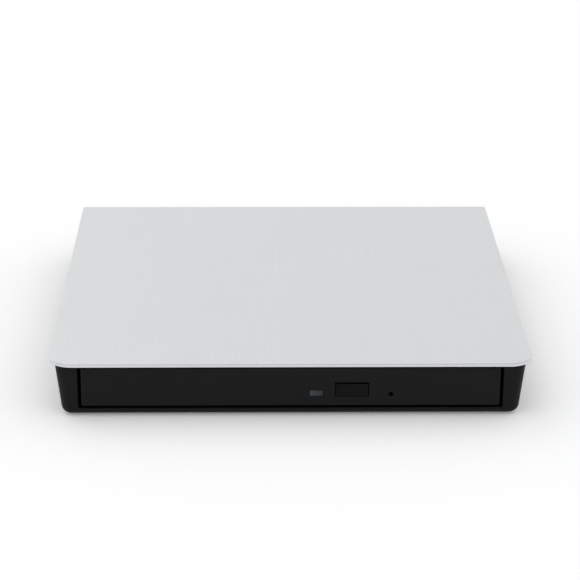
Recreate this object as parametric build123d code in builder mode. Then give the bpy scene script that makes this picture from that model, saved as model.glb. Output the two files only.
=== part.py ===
from build123d import *
import math
import os

os.makedirs("parts", exist_ok=True)

# An external disc drive: a slim tray drive inside a black moulded tub, closed by a brushed aluminium plate.
# X runs across the front, Y from the front to the back, Z up. The origin is on the surface that the drive
# stands on, under the middle of the plate. Millimetres.

# The disc, and the tray around it
disc_radius = 60.0
disc_gap = 0.3
seat_rise = 1.3
dish_depth = 3.7
dish_wall = 1.2
dish_side_margin = 1.5
dish_front_margin = 2.6
dish_back_margin = 1.9
dish_edge_round = 0.5
deck_thickness = 1.2
tray_front_wall = 1.5
tray_skirt = 1.2
tray_side_gap = 0.4
tray_back_gap = 1.4
tray_lift = 0.6
tray_travel = 128.0
running_gap = 0.3

# Slim drive: its case, cover and front bezel
case_sheet = 0.6
cover_sheet = 0.5
cover_flange = 1.1
drive_height = 12.7
case_front_gap = 0.5
case_window_height = 5.4
bezel_height = 12.45
bezel_drop = 0.1
bezel_thickness = 2.4
bezel_proud = 0.5
bezel_corner_radius = 0.5
bezel_edge_round = 0.3

# Moulded tub, lid panel and feet
side_bay = 10.0
rear_bay = 15.0
base_floor = 2.5
base_wall = 2.0
base_side_lean = 1.9
base_front_lean = 0.2
base_back_lean = 1.0
base_corner_radius = 3.0
inner_corner_radius = 1.0
base_bottom_round = 2.9
opening_side_gap = 1.05
rest_rib_height = 1.1
rest_rib_width = 1.6
rest_rib_pitch = 38.0
rest_rib_inset = 6.0
drop_in_gap = 0.1
boss_radius = 3.6
foot_radius = 5.5
foot_proud = 0.3
foot_sink = 0.5
foot_edge_round = 0.2
foot_side_inset = 12.0
foot_end_inset = 17.0
lid_sheet = 0.4
lid_inset = 1.2
lid_rib = 1.2
lid_rib_drop = 3.0
lid_gap = 0.3
snap_width = 8.0
snap_drop = 5.2
snap_barb = 0.6
snap_barb_height = 1.6
snap_spacing = 46.0
snap_count = 3

# Aluminium plate
plate_thickness = 1.0
plate_front_radius = 7.4
plate_back_radius = 0.8
plate_edge_chamfer = 0.2
plate_side_overhang = 2.0
plate_front_overhang = 2.0
plate_back_overhang = 1.0
film_thickness = 0.1
film_margin = 6.0

# Screws
screw_radius = 1.0
screw_head_radius = 2.2
screw_head_height = 0.65
screw_gap = 0.05

# Controls in the bezel, measured from the bezel's right end and from its lower edge
window_inset = 56.2
window_width = 4.0
window_height = 1.75
window_gap = 0.15
window_rise = 4.1
window_clearance = 0.5
button_inset = 45.3
button_width = 10.0
button_height = 3.9
button_rise = 5.3
button_gap = 0.2
button_top_gap = 0.7
button_low_gap = 0.12
button_flange = 0.7
button_travel = 0.6
pinhole_inset = 33.4
pinhole_radius = 0.75
pinhole_rise = 3.7

# Telescopic rails
rail_sheet = 0.45
rail_gap = 0.25
channel_lift = 0.5
channel_height = 5.0
channel_reach = 2.2
rail_overlap = 54.0
rail_end_gap = 2.0
skirt_inset = 2.8

# Traverse: the sub-frame with the spindle motor and the pickup, turned towards the front left of the tray
traverse_turn = 225.0
traverse_sheet = 0.8
traverse_rise = 1.7
traverse_inner = 15.0
traverse_outer_margin = 4.5
traverse_near_margin = 2.5
traverse_far_margin = 6.5
traverse_strip = 2.8
traverse_clearance = 0.65
traverse_far_corner = 8.5
traverse_inner_corner = 7.5
traverse_motor_step = 6.6
traverse_pocket_gap = 0.5
dress_sheet = 0.5
dress_ledge = 1.1
dress_gap = 0.1
lens_slot = 8.0
ear_radius = 3.9
ear_reach = 3.4
ear_inset = 10.2
ear_boss_radius = 2.4
grommet_radius = 3.2
grommet_waist = 2.0
grommet_flange = 0.7

# Spindle motor and disc hub
rotor_radius = 12.0
rotor_wall = 0.8
rotor_height = 3.5
turntable_radius = 15.0
turntable_sheet = 0.6
turntable_rise = 0.6
turntable_boss = 6.0
pad_thickness = 0.3
pad_width = 2.4
hub_radius = 7.4
hub_wall_height = 2.3
hub_height = 3.0
shaft_proud = 0.3
hub_crown_radius = 4.5
hub_tabs_count = 3
hub_tab_width = 2.3
hub_tab_height = 0.5
hub_tab_depth = 1.2
hub_tab_proud = 0.1
shaft_radius = 1.0
shaft_gap = 0.04
bearing_radius = 3.0
bearing_flange = 5.0
bearing_sheet = 0.6
bearing_end = 0.3
bearing_shoulder = 3.8
stator_radius = 9.8
stator_hub = 4.6
stator_teeth = 9
stator_tooth_width = 1.8
tooth_head_width = 4.0
stator_sheet = 1.6
winding_length = 3.0
winding_build = 0.7

# Optical pickup, guide rods and lead screw
pickup_start = 24.5
track_margin = 3.5
pickup_height = 4.7
pickup_floor_gap = 0.6
pickup_front_reach = 6.0
pickup_back_reach = 13.2
pickup_body_half = 13.0
pickup_half_width = 19.0
pickup_lug = 3.0
pickup_sheet = 0.3
actuator_half_width = 7.0
actuator_half_length = 5.1
rod_radius = 1.0
rod_inset = 2.5
rod_clamp_length = 1.3
rod_clamp_half_width = 1.5
rod_clamp_height = 2.6
rod_start = 8.4
lens_radius = 2.2
lens_thickness = 0.9
lens_depth = 1.1
turret_radius = 2.9
turret_height = 1.6
lens_proud = 0.3
holder_half_width = 5.6
holder_half_length = 3.4
holder_height = 1.8
magnet_thickness = 1.1
magnet_half_width = 4.0
magnet_height = 2.2
lead_gap = 3.3
lead_radius = 1.0
lead_rise = 1.3
nut_gap = 0.15
focus_travel = 0.4
lead_pivot_radius = 0.5
lead_pivot_length = 0.6
sled_motor_radius = 2.6
sled_motor_length = 9.5
sled_motor_end = 3.3
sled_tab = 0.8
sled_tab_half_width = 2.4
sled_tab_rise = 1.8

# Eject latch, its solenoid, the spring plunger and the emergency slider
post_inset = 18.9
post_set_back = 23.6
post_radius = 1.2
post_height = 4.0
latch_offset = 7.0
latch_rise = 1.3
latch_thickness = 2.2
latch_hooked_turn = 110.0
latch_swing = 17.0
latch_arm_half_width = 1.3
latch_tooth_reach = 4.6
latch_tooth_width = 1.8
latch_hub_radius = 2.2
latch_tail_low = 0.5
latch_tail_width = 2.0
latch_tail_reach = 5.4
latch_armature_reach = 8.0
latch_armature_half_length = 1.8
latch_armature_width = 2.4
pivot_radius = 1.0
pivot_gap = 0.04
pivot_boss_radius = 2.3
solenoid_radius = 2.3
solenoid_length = 11.0
solenoid_gap = 4.0
saddle_width = 6.0
slider_width = 2.4
slider_height = 1.6
slider_front_gap = 0.4
slider_length = 17.0
slider_arm_width = 1.2
slider_arm_gap = 2.9
slider_travel = 2.0
plunger_inset = 13.4
plunger_radius = 0.9
plunger_length = 50.0
plunger_travel = 14.0
plunger_collar_radius = 1.8
plunger_collar_length = 1.0
plunger_spare = 1.0
lug_thickness = 2.0
lug_half_width = 2.6
spring_wire = 0.4
spring_length = 9.0
running_fit = 0.05

# Boards and connectors
board_thickness = 0.8
insulator_thickness = 0.4
board_depth = 33.5
board_left_inset = 19.4
board_right_inset = 17.4
board_back_gap = 1.9
control_board_inset = 36.5
control_board_width = 25.5
control_board_depth = 9.0
control_board_lift = 0.4
switch_width = 4.0
switch_depth = 3.1
switch_height = 4.0
switch_tip = 0.5
switch_tip_radius = 0.9
switch_set_back = 1.0
button_stem = 2.8
button_recess = 0.45
button_proud = 0.15
button_edge_round = 0.15
led_size = 1.8
light_guide_gap = 0.5
bridge_thickness = 1.0
bridge_lift = 3.3
bridge_left = -38.0
bridge_right = 14.0
bridge_front_gap = 0.6
bridge_depth = 10.2
bridge_boss_radius = 2.4
bridge_screw_inset = 4.0
flex_thickness = 0.2
flex_half_width = 6.0
flex_inset = 10.0
flex_rise = 0.4
flex_drop = 1.1
flex_fold_reach = 44.5
flex_tray_inset = 11.0
flex_pad_length = 5.0
plug_x = -16.0
plug_half_width = 14.0
plug_depth = 5.6
plug_height = 4.0
plug_wall = 1.1
nose_gap = 0.2
nose_depth = 4.0
receptacle_depth = 4.4
receptacle_height = 2.5
connector_width = 14.0
connector_depth = 3.5
connector_height = 1.4
connector_slot = 2.5
post_flange_radius = 2.2
post_flange = 0.3
socket_x = -20.0
socket_width = 12.2
socket_height = 2.6
socket_depth = 6.5
socket_wall = 0.3
socket_recess = 0.5
socket_window_gap = 0.4
tongue_height = 0.7
tongue_back = 1.0

# Levels, worked out upwards from the surface that the drive stands on
base_underside = foot_proud
floor_top = base_underside + base_floor
drive_base = floor_top + rest_rib_height + drop_in_gap
drive_top = drive_base + drive_height
cover_base = drive_top - cover_sheet
case_floor_top = drive_base + case_sheet
lid_base = drive_top + drop_in_gap
film_base = lid_base + lid_sheet
plate_base = film_base + film_thickness
bezel_base = drive_base - bezel_drop
channel_base = case_floor_top + channel_lift
channel_top = channel_base + channel_height
tray_floor_base = channel_top + tray_side_gap
dish_floor = tray_floor_base + deck_thickness
seat_height = dish_floor + seat_rise
lens_top = seat_height - lens_depth
deck_top = dish_floor + dish_depth
skirt_base = case_floor_top + tray_lift
traverse_base = case_floor_top + traverse_rise
traverse_top = traverse_base + traverse_sheet
dress_base = dish_floor - dress_sheet
pad_base = seat_height - pad_thickness
turntable_base = pad_base - turntable_sheet
rotor_top = turntable_base - turntable_rise
rotor_base = rotor_top - rotor_height
rod_axis = traverse_top + rod_radius
lead_axis = traverse_top + lead_rise
pickup_base_height = case_floor_top + pickup_floor_gap
pickup_top = pickup_base_height + pickup_height
board_base = case_floor_top + insulator_thickness
board_top = board_base + board_thickness
flex_lower = board_top + flex_rise
flex_upper = tray_floor_base - flex_drop
bridge_base = floor_top + bridge_lift
bridge_top = bridge_base + bridge_thickness

# Widths, worked out from the disc
dish_radius = disc_radius + disc_gap
dish_outer = dish_radius + dish_wall
tray_half = dish_outer + dish_side_margin
case_inner = tray_half + tray_side_gap
drive_half = case_inner + case_sheet
opening_half = drive_half + opening_side_gap
window_x = drive_half - window_inset
button_x = drive_half - button_inset
pinhole_x = drive_half - pinhole_inset
control_board_right = drive_half - control_board_inset
control_board_left = control_board_right - control_board_width
plate_half = drive_half + side_bay
tub_half = plate_half - plate_side_overhang
skirt_outer = tray_half - skirt_inset
skirt_inner = skirt_outer - tray_skirt
board_left = board_left_inset - case_inner
board_right = case_inner - board_right_inset
flex_x = board_right - flex_inset
plunger_x = plunger_inset - case_inner
post_x = case_inner - post_inset
latch_pivot_x = post_x + latch_offset
solenoid_end_x = latch_pivot_x - solenoid_gap

# Depths, worked out from the disc and the tray's travel, with the middle of the plate at zero
tray_depth = dish_front_margin + 2 * dish_radius + dish_back_margin
drive_depth = bezel_thickness + tray_depth + tray_back_gap + case_sheet
plate_depth = plate_front_overhang - bezel_proud + drive_depth + rear_bay
plate_front = -plate_depth / 2
plate_back = plate_depth / 2
tub_front = plate_front + plate_front_overhang
tub_back = plate_back - plate_back_overhang
bezel_front = tub_front - bezel_proud
tray_front = bezel_front + bezel_thickness
tray_back = tray_front + tray_depth
spindle_y = tray_front + dish_front_margin + dish_radius
case_front = tray_front + case_front_gap
case_back = bezel_front + drive_depth
channel_front = case_front + case_front_gap
rail_front = channel_front + rail_end_gap
rail_length = tray_travel / 2 + rail_overlap
rail_back = rail_front + rail_length
channel_back = rail_back + 2 * rail_end_gap
front_wall_back = tray_front + tray_front_wall
lens_outer = disc_radius - track_margin
traverse_outer = lens_outer + pickup_front_reach + traverse_outer_margin
post_y = case_front + post_set_back
latch_pivot_y = post_y - latch_offset
solenoid_y = latch_pivot_y - latch_armature_reach
board_back = case_back - case_sheet - board_back_gap
board_front = board_back - board_depth
flex_fold_y = board_front - flex_fold_reach
flex_tray_end = tray_back - flex_tray_inset
foot_x = plate_half - plate_side_overhang - base_side_lean - foot_side_inset
foot_front = tub_front + foot_end_inset
foot_back = tub_back - foot_end_inset
window_level = bezel_base + window_rise
button_level = bezel_base + button_rise
button_hole_height = button_height + button_low_gap + button_top_gap
button_flange_height = button_hole_height + 2 * (button_flange - button_gap)
pinhole_level = bezel_base + pinhole_rise
corner_pocket_top = deck_top - deck_thickness

# The traverse's width follows the pickup, and its corner at the left keeps clear of the tray's skirt
traverse_near = pickup_half_width + traverse_near_margin
traverse_far = pickup_half_width + traverse_far_margin
rod_offset = pickup_half_width - rod_inset
lead_offset = pickup_half_width + lead_gap
lead_end = lens_outer
corner_reach = math.sqrt(2) * (skirt_inner - traverse_clearance)
traverse_near_corner = traverse_outer + traverse_near - corner_reach
window_front = lens_outer + pickup_front_reach + traverse_pocket_gap
window_half = pickup_half_width + traverse_pocket_gap
window_corner = window_front + window_half - corner_reach + math.sqrt(2) * traverse_strip

# The traverse lies along its own axes: x outwards from the spindle, y across, z up
turn = math.radians(traverse_turn)
traverse = Plane(origin=(0, spindle_y, 0), x_dir=(math.cos(turn), math.sin(turn), 0), z_dir=(0, 0, 1))
ear_places = (
    (-traverse_inner - ear_reach, 0),
    (pickup_start + ear_reach, traverse_far + ear_reach),
    (lens_outer - ear_inset, -traverse_near - ear_reach),
)


def upright(y):
    """The upright plane across the drive at a depth, with x to the right and y up."""
    return Plane(origin=(0, y, 0), x_dir=(1, 0, 0), z_dir=(0, -1, 0))


def traverse_section(reach):
    """The upright plane across the traverse at a distance from the spindle, with y up."""
    place = traverse.from_local_coords((reach, 0, 0))
    return Plane(origin=place, x_dir=traverse.y_dir, z_dir=traverse.x_dir)


def block(x_range, y_range, z_range, mode=Mode.ADD):
    """A plain block between two values on each axis."""
    x_low, x_high = sorted(x_range)
    y_low, y_high = sorted(y_range)
    z_low, z_high = sorted(z_range)
    with Locations((x_low, y_low, z_low)):
        Box(x_high - x_low, y_high - y_low, z_high - z_low, align=(Align.MIN,) * 3, mode=mode)


def post(x, y, radius, z_range, mode=Mode.ADD):
    """An upright round post or hole."""
    with Locations((x, y, z_range[0])):
        Cylinder(radius, z_range[1] - z_range[0], align=(Align.CENTER, Align.CENTER, Align.MIN), mode=mode)


def rod(x, z, radius, y_range, mode=Mode.ADD):
    """A round rod or hole that runs from the front to the back."""
    with BuildSketch(upright(y_range[0])) as end:
        with Locations((x, z)):
            Circle(radius)
    extrude(end.sketch, amount=y_range[0] - y_range[1], mode=mode)


def traverse_rod(offset, z, radius, reach, mode=Mode.ADD):
    """A round rod or hole that runs along the traverse."""
    with BuildSketch(traverse_section(reach[0])) as end:
        with Locations((offset, z)):
            Circle(radius)
    extrude(end.sketch, amount=reach[1] - reach[0], mode=mode)


def window(x, z, width, height, y_range, mode=Mode.SUBTRACT):
    """A rectangular block or opening from the front to the back, given by its middle."""
    block((x - width / 2, x + width / 2), y_range, (z - height / 2, z + height / 2), mode)


def tub_lean(height):
    """How far down the tub's wall a height is, from 0 at its rim to 1 at its underside."""
    return (lid_base - height) / (lid_base - base_underside)


def tub_side(height):
    """Half the width of the tub at a height."""
    return tub_half - base_side_lean * tub_lean(height)


def tub_rear(height):
    """The place of the tub's back face at a height."""
    return tub_back - base_back_lean * tub_lean(height)


def tub_section(height, inset):
    """The outline of the tub at a height, moved inwards by a wall."""
    front = tub_front + base_front_lean * tub_lean(height) + inset
    back = tub_rear(height) - inset
    radius = max(base_corner_radius - inset, inner_corner_radius)
    with BuildSketch(Plane.XY.offset(height)) as section:
        with Locations((0, (front + back) / 2)):
            RectangleRounded(2 * (tub_side(height) - inset), back - front, radius)
    return section.sketch


def traverse_outline(height, gap, limit, motor_notch):
    """The traverse's outline grown by a gap, cut by a circle, with or without room for the sled motor."""
    near = traverse_near + gap
    far = traverse_far + gap
    inner = traverse_inner + gap
    outer = traverse_outer + gap
    corner = traverse_inner_corner
    if motor_notch:
        step = far - traverse_motor_step
        inner_far = ((sled_motor_end, far), (sled_motor_end, step), (-inner, step))
    else:
        inner_far = ((corner - inner, far), (-inner, far - corner))
    with BuildSketch(traverse.offset(height)) as outline:
        Polygon(
            (-inner, corner - near),
            (corner - inner, -near),
            (outer - traverse_near_corner, -near),
            (outer, traverse_near_corner - near),
            (outer, far - traverse_far_corner),
            (outer - traverse_far_corner, far),
            *inner_far,
            align=None,
        )
        Circle(limit, mode=Mode.INTERSECT)
    return outline.sketch


whole_traverse = 2 * traverse_outer

# Tub: the moulded lower case, with ribs that carry the drive, screw bosses and recesses for the feet
with BuildPart() as base_tub:
    loft([tub_section(base_underside, 0), tub_section(lid_base, 0)])
    fillet(base_tub.faces().sort_by(Axis.Z)[0].edges(), base_bottom_round)
    loft([tub_section(floor_top, base_wall), tub_section(lid_base, base_wall)], mode=Mode.SUBTRACT)
    opening_depth = (plate_front, tub_front + 2 * base_wall)
    block((-opening_half, opening_half), opening_depth, (floor_top, lid_base), Mode.SUBTRACT)
    for step in (-1, 0, 1):
        middle = step * rest_rib_pitch
        block(
            (middle - rest_rib_width / 2, middle + rest_rib_width / 2),
            (case_front + rest_rib_inset, case_back - rest_rib_inset),
            (floor_top, floor_top + rest_rib_height),
        )
    for side in (-1, 1):
        for place_y in (foot_front, foot_back):
            post(side * foot_x, place_y, boss_radius, (floor_top, floor_top + rest_rib_height))
            recess = (0, base_underside + foot_sink)
            post(side * foot_x, place_y, foot_radius + drop_in_gap, recess, Mode.SUBTRACT)
            post(
                side * foot_x,
                place_y,
                screw_head_radius + drop_in_gap,
                (base_underside, base_underside + foot_sink + screw_head_height),
                Mode.SUBTRACT,
            )
            post(side * foot_x, place_y, screw_radius + screw_gap, (0, drive_base), Mode.SUBTRACT)
    bridge_middle = case_back + bridge_front_gap + bridge_depth / 2
    for place_x in (bridge_left + bridge_screw_inset, bridge_right - bridge_screw_inset):
        post(place_x, bridge_middle, bridge_boss_radius, (floor_top, bridge_base))
        post(place_x, bridge_middle, screw_radius + screw_gap, (floor_top, bridge_base), Mode.SUBTRACT)
    socket_level = bridge_top + socket_height / 2
    window(
        socket_x,
        socket_level,
        socket_width + 2 * socket_window_gap,
        socket_height + 2 * socket_window_gap,
        (tub_rear(floor_top) - 2 * base_wall, plate_back),
    )
    snap_face = tub_side(lid_base - snap_drop) - base_wall - lid_gap
    barb_top = lid_base - snap_drop + snap_barb_height
    for side in (-1, 1):
        for step in range(snap_count):
            middle = (step - (snap_count - 1) / 2) * snap_spacing
            half = snap_width / 2 + lid_gap
            block(
                (side * (snap_face - base_wall), side * (snap_face + lid_gap + snap_barb + lid_gap)),
                (middle - half, middle + half),
                (lid_base - snap_drop - lid_gap, barb_top + drop_in_gap),
                Mode.SUBTRACT,
            )
base_tub.part.label = "base_tub"
export_step(base_tub.part, "parts/base_tub.step")

# Feet: four soft pads pressed into the recesses, over the screw heads
with BuildPart() as rubber_feet:
    with Locations(*[(side * foot_x, y, 0) for side in (-1, 1) for y in (foot_front, foot_back)]):
        Cylinder(foot_radius, foot_proud + foot_sink, align=(Align.CENTER, Align.CENTER, Align.MIN))
    fillet(rubber_feet.edges().group_by(Axis.Z)[0], foot_edge_round)
rubber_feet.part.label = "rubber_feet"
export_step(rubber_feet.part, "parts/rubber_feet.step")

# Case screws: they hold the drive down on the tub's bosses
with BuildPart() as case_screws:
    for side in (-1, 1):
        for place_y in (foot_front, foot_back):
            head_base = base_underside + foot_sink
            post(side * foot_x, place_y, screw_head_radius, (head_base, head_base + screw_head_height))
            post(side * foot_x, place_y, screw_radius, (head_base, case_floor_top))
            with Locations((side * foot_x, place_y, head_base)):
                Box(2 * screw_radius, screw_radius / 2, screw_head_height, mode=Mode.SUBTRACT)
                Box(screw_radius / 2, 2 * screw_radius, screw_head_height, mode=Mode.SUBTRACT)
case_screws.part.label = "case_screws"
export_step(case_screws.part, "parts/case_screws.step")

# Lid panel: it closes the tub, snaps into its side walls and carries the plate
with BuildPart() as lid_panel:
    extrude(tub_section(lid_base, lid_inset), amount=lid_sheet)
    back_face = tub_rear(lid_base - lid_rib_drop) - base_wall - lid_gap
    front_face = front_wall_back
    for side in (-1, 1):
        block(
            (side * (snap_face - lid_rib), side * snap_face),
            (front_face, back_face),
            (lid_base - lid_rib_drop, lid_base),
        )
        for step in range(snap_count):
            middle = (step - (snap_count - 1) / 2) * snap_spacing
            block(
                (side * (snap_face - lid_rib), side * snap_face),
                (middle - snap_width / 2, middle + snap_width / 2),
                (lid_base - snap_drop, lid_base),
            )
            with BuildSketch(upright(middle - snap_width / 2)):
                Polygon(
                    (side * snap_face, lid_base - snap_drop),
                    (side * (snap_face + lid_gap + snap_barb), barb_top),
                    (side * snap_face, barb_top),
                    align=None,
                )
            extrude(amount=-snap_width)
    block((-snap_face, snap_face), (back_face - lid_rib, back_face), (lid_base - lid_rib_drop, lid_base))
lid_panel.part.label = "lid_panel"
export_step(lid_panel.part, "parts/lid_panel.step")

# Adhesive film between the lid panel and the plate
with BuildPart() as plate_film:
    film_width = 2 * (tub_half - film_margin)
    film_depth = tub_back - tub_front - 2 * film_margin
    with BuildSketch(Plane.XY.offset(film_base)):
        with Locations((0, (tub_front + tub_back) / 2)):
            RectangleRounded(film_width, film_depth, base_corner_radius)
    extrude(amount=film_thickness)
plate_film.part.label = "plate_film"
export_step(plate_film.part, "parts/plate_film.step")

# Top plate: brushed aluminium sheet that overhangs the tub, with large radii at its front corners
with BuildPart() as top_plate:
    with BuildSketch(Plane.XY.offset(plate_base)) as plate_outline:
        Rectangle(2 * plate_half, plate_depth)
        fillet(plate_outline.vertices().group_by(Axis.Y)[0], plate_front_radius)
        fillet(plate_outline.vertices().group_by(Axis.Y)[-1], plate_back_radius)
    extrude(amount=plate_thickness)
    chamfer(top_plate.faces().sort_by(Axis.Z)[-1].edges(), plate_edge_chamfer)
top_plate.part.label = "top_plate"
export_step(top_plate.part, "parts/top_plate.step")

# Drive case: the folded steel pan of the slim drive, open at the front, with a window for its plug
with BuildPart() as drive_case:
    wall_top = cover_base - cover_flange + cover_sheet
    block((-drive_half, drive_half), (case_front, case_back), (drive_base, wall_top))
    inside = (case_front, case_back - case_sheet)
    block((-case_inner, case_inner), inside, (case_floor_top, wall_top), Mode.SUBTRACT)
    block(
        (plug_x - plug_half_width - plug_wall, plug_x + plug_half_width + plug_wall),
        (case_back - 2 * case_sheet, case_back),
        (board_base, board_base + case_window_height),
        Mode.SUBTRACT,
    )
    for side in (-1, 1):
        for place_y in (foot_front, foot_back):
            hole = (drive_base, case_floor_top)
            post(side * foot_x, place_y, screw_radius + screw_gap, hole, Mode.SUBTRACT)
drive_case.part.label = "drive_case"
export_step(drive_case.part, "parts/drive_case.step")

# Drive cover: the steel sheet over the drive, with short flanges that stand on the pan's walls
with BuildPart() as drive_cover:
    block((-drive_half, drive_half), (case_front, case_back), (cover_base, drive_top))
    for side in (-1, 1):
        block((side * case_inner, side * drive_half), (case_front, case_back), (wall_top, drive_top))
    block((-drive_half, drive_half), (case_back - case_sheet, case_back), (wall_top, drive_top))
drive_cover.part.label = "drive_cover"
export_step(drive_cover.part, "parts/drive_cover.step")

# Guide channels and telescopic rails: C-sections, one inside the other, on both sides of the tray
rail_outer = case_inner - rail_sheet - rail_gap
rail_base = channel_base + rail_sheet + rail_gap
rail_top = channel_top - rail_sheet - rail_gap
for side_name, side in (("left", -1), ("right", 1)):
    with BuildPart() as guide_channel:
        channel_run = (channel_front, channel_back)
        channel_sides = (side * case_inner, side * (case_inner - channel_reach))
        block(channel_sides, channel_run, (channel_base, channel_top))
        block(
            (side * (case_inner - rail_sheet), side * (case_inner - channel_reach)),
            channel_run,
            (channel_base + rail_sheet, channel_top - rail_sheet),
            Mode.SUBTRACT,
        )
    guide_channel.part.label = f"{side_name}_guide_channel"
    export_step(guide_channel.part, f"parts/{side_name}_guide_channel.step")
    with BuildPart() as rail:
        rail_run = (rail_front, rail_back)
        block((side * rail_outer, side * (rail_outer - channel_reach)), rail_run, (rail_base, rail_top))
        block(
            (side * (rail_outer - rail_sheet), side * (rail_outer - channel_reach)),
            rail_run,
            (rail_base + rail_sheet, rail_top - rail_sheet),
            Mode.SUBTRACT,
        )
    rail.part.label = f"{side_name}_rail"
    export_step(rail.part, f"parts/{side_name}_rail.step")

# Latch places, in the tray: the lever lies ready, turned away from the post
latch_base = case_floor_top + latch_rise
latch_top = latch_base + latch_thickness
latch_axis = (latch_pivot_x, latch_pivot_y)
slider_base = pinhole_level - slider_height / 2
slider_top = pinhole_level + slider_height / 2
slider_front = front_wall_back + slider_front_gap
slider_back_guide = slider_front + slider_length - lug_thickness
slider_arm_y = slider_back_guide - 2 * slider_travel - slider_arm_width
solenoid_axis = traverse_top + lead_rise
plunger_axis = (skirt_base + tray_floor_base) / 2
plunger_tip = case_back - case_sheet - running_gap
plunger_back_lug = tray_back - 2 * lug_thickness
plunger_run = spring_length + plunger_collar_length + plunger_travel + plunger_spare
plunger_front_lug = plunger_back_lug - lug_thickness - plunger_run
control_base = skirt_base + control_board_lift
control_top = control_base + board_thickness
control_front = front_wall_back + running_gap
control_back = control_front + control_board_depth
switch_front = front_wall_back + switch_set_back

# Tray: the moulded drawer with the dish for the disc, its runners, and the mounts of all that it carries
with BuildPart() as tray:
    block((-tray_half, tray_half), (tray_front, tray_back), (tray_floor_base, deck_top))
    post(0, spindle_y, dish_radius, (dish_floor, deck_top), Mode.SUBTRACT)
    rim = tray.edges().filter_by(GeomType.CIRCLE).group_by(Axis.Z)[-1]
    fillet(rim, dish_edge_round)
    with BuildSketch(Plane.XY.offset(tray_floor_base)):
        with Locations((0, (front_wall_back + tray_back - tray_skirt) / 2)):
            Rectangle(2 * skirt_inner, tray_back - tray_skirt - front_wall_back)
        with Locations((0, spindle_y)):
            Circle(dish_outer, mode=Mode.SUBTRACT)
    extrude(amount=corner_pocket_top - tray_floor_base, mode=Mode.SUBTRACT)
    opening = traverse_outline(tray_floor_base, traverse_pocket_gap, dish_radius, False)
    extrude(opening, amount=deck_thickness, mode=Mode.SUBTRACT)
    ledge = traverse_pocket_gap + dress_ledge
    shallow = traverse_outline(dress_base, ledge, dish_radius - dish_edge_round, False)
    extrude(shallow, amount=dress_sheet, mode=Mode.SUBTRACT)
    for side in (-1, 1):
        skirt_run = (tray_front, rail_back)
        block((side * skirt_inner, side * skirt_outer), skirt_run, (skirt_base, tray_floor_base))
        runner_outer = rail_outer - rail_sheet - rail_gap
        block(
            (side * skirt_outer, side * runner_outer),
            (rail_front, rail_back),
            (rail_base + rail_sheet + rail_gap, rail_top - rail_sheet - rail_gap),
        )
    block((-skirt_outer, skirt_outer), (tray_front, front_wall_back), (skirt_base, tray_floor_base))
    front_wall = (tray_front, front_wall_back)
    window(
        window_x,
        window_level,
        window_width + 2 * window_clearance,
        window_height + 2 * window_clearance,
        front_wall,
    )
    flange_gap = 2 * button_flange + 4 * button_gap
    flange_room = button_flange_height + 4 * button_gap
    window(button_x, button_level, button_width + flange_gap, flange_room, front_wall)
    rod(pinhole_x, pinhole_level, 2 * pinhole_radius, front_wall, Mode.SUBTRACT)
    for reach, across in ear_places:
        ear = traverse.from_local_coords((reach, across, 0))
        boss_base = traverse_top + grommet_flange
        post(ear.X, ear.Y, ear_boss_radius, (boss_base, tray_floor_base))
        post(ear.X, ear.Y, screw_radius + screw_gap, (boss_base, tray_floor_base), Mode.SUBTRACT)
    for place_x in (control_board_left + screw_head_radius, control_board_right - screw_head_radius):
        post(place_x, control_back - screw_head_radius, screw_radius * 2, (control_top, tray_floor_base))
        post(
            place_x,
            control_back - screw_head_radius,
            screw_radius + screw_gap,
            (control_top, tray_floor_base),
            Mode.SUBTRACT,
        )
    post(*latch_axis, pivot_boss_radius, (latch_top + running_gap, corner_pocket_top))
    post(*latch_axis, pivot_radius, (latch_base - running_gap, corner_pocket_top))
    solenoid_start = solenoid_end_x - solenoid_length
    saddle_x = solenoid_start + solenoid_length / 2
    block(
        (saddle_x - saddle_width / 2, saddle_x + saddle_width / 2),
        (solenoid_y - solenoid_radius, solenoid_y + solenoid_radius),
        (solenoid_axis, corner_pocket_top),
    )
    with BuildSketch(Plane.YZ.offset(solenoid_start)):
        with Locations((solenoid_y, solenoid_axis)):
            Circle(solenoid_radius)
    extrude(amount=solenoid_length, mode=Mode.SUBTRACT)
    lug_half = lug_half_width
    for place_y, lug_top in ((plunger_front_lug, tray_floor_base), (plunger_back_lug, corner_pocket_top)):
        lug_run = (place_y, place_y + lug_thickness)
        lug_low = plunger_axis - lug_half + running_gap
        block((plunger_x - lug_half, plunger_x + lug_half), lug_run, (lug_low, lug_top))
        rod(plunger_x, plunger_axis, plunger_radius + running_fit, lug_run, Mode.SUBTRACT)
    slider_front_guide = slider_front + lug_thickness
    guide_hole = slider_width / 2 + running_fit
    for place_y, lug_top in ((slider_front_guide, corner_pocket_top), (slider_back_guide, tray_floor_base)):
        lug_run = (place_y, place_y + lug_thickness)
        lug_low = slider_base - lug_thickness / 2
        block((pinhole_x - slider_width, pinhole_x + slider_width), lug_run, (lug_low, lug_top))
        block(
            (pinhole_x - guide_hole, pinhole_x + guide_hole),
            lug_run,
            (slider_base - running_fit, slider_top + running_fit),
            Mode.SUBTRACT,
        )
    block(
        (flex_x - flex_half_width, flex_x + flex_half_width),
        (flex_tray_end - flex_pad_length, flex_tray_end),
        (flex_upper + flex_thickness, tray_floor_base),
    )
tray.part.label = "tray"
export_step(tray.part, "parts/tray.step")

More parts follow.
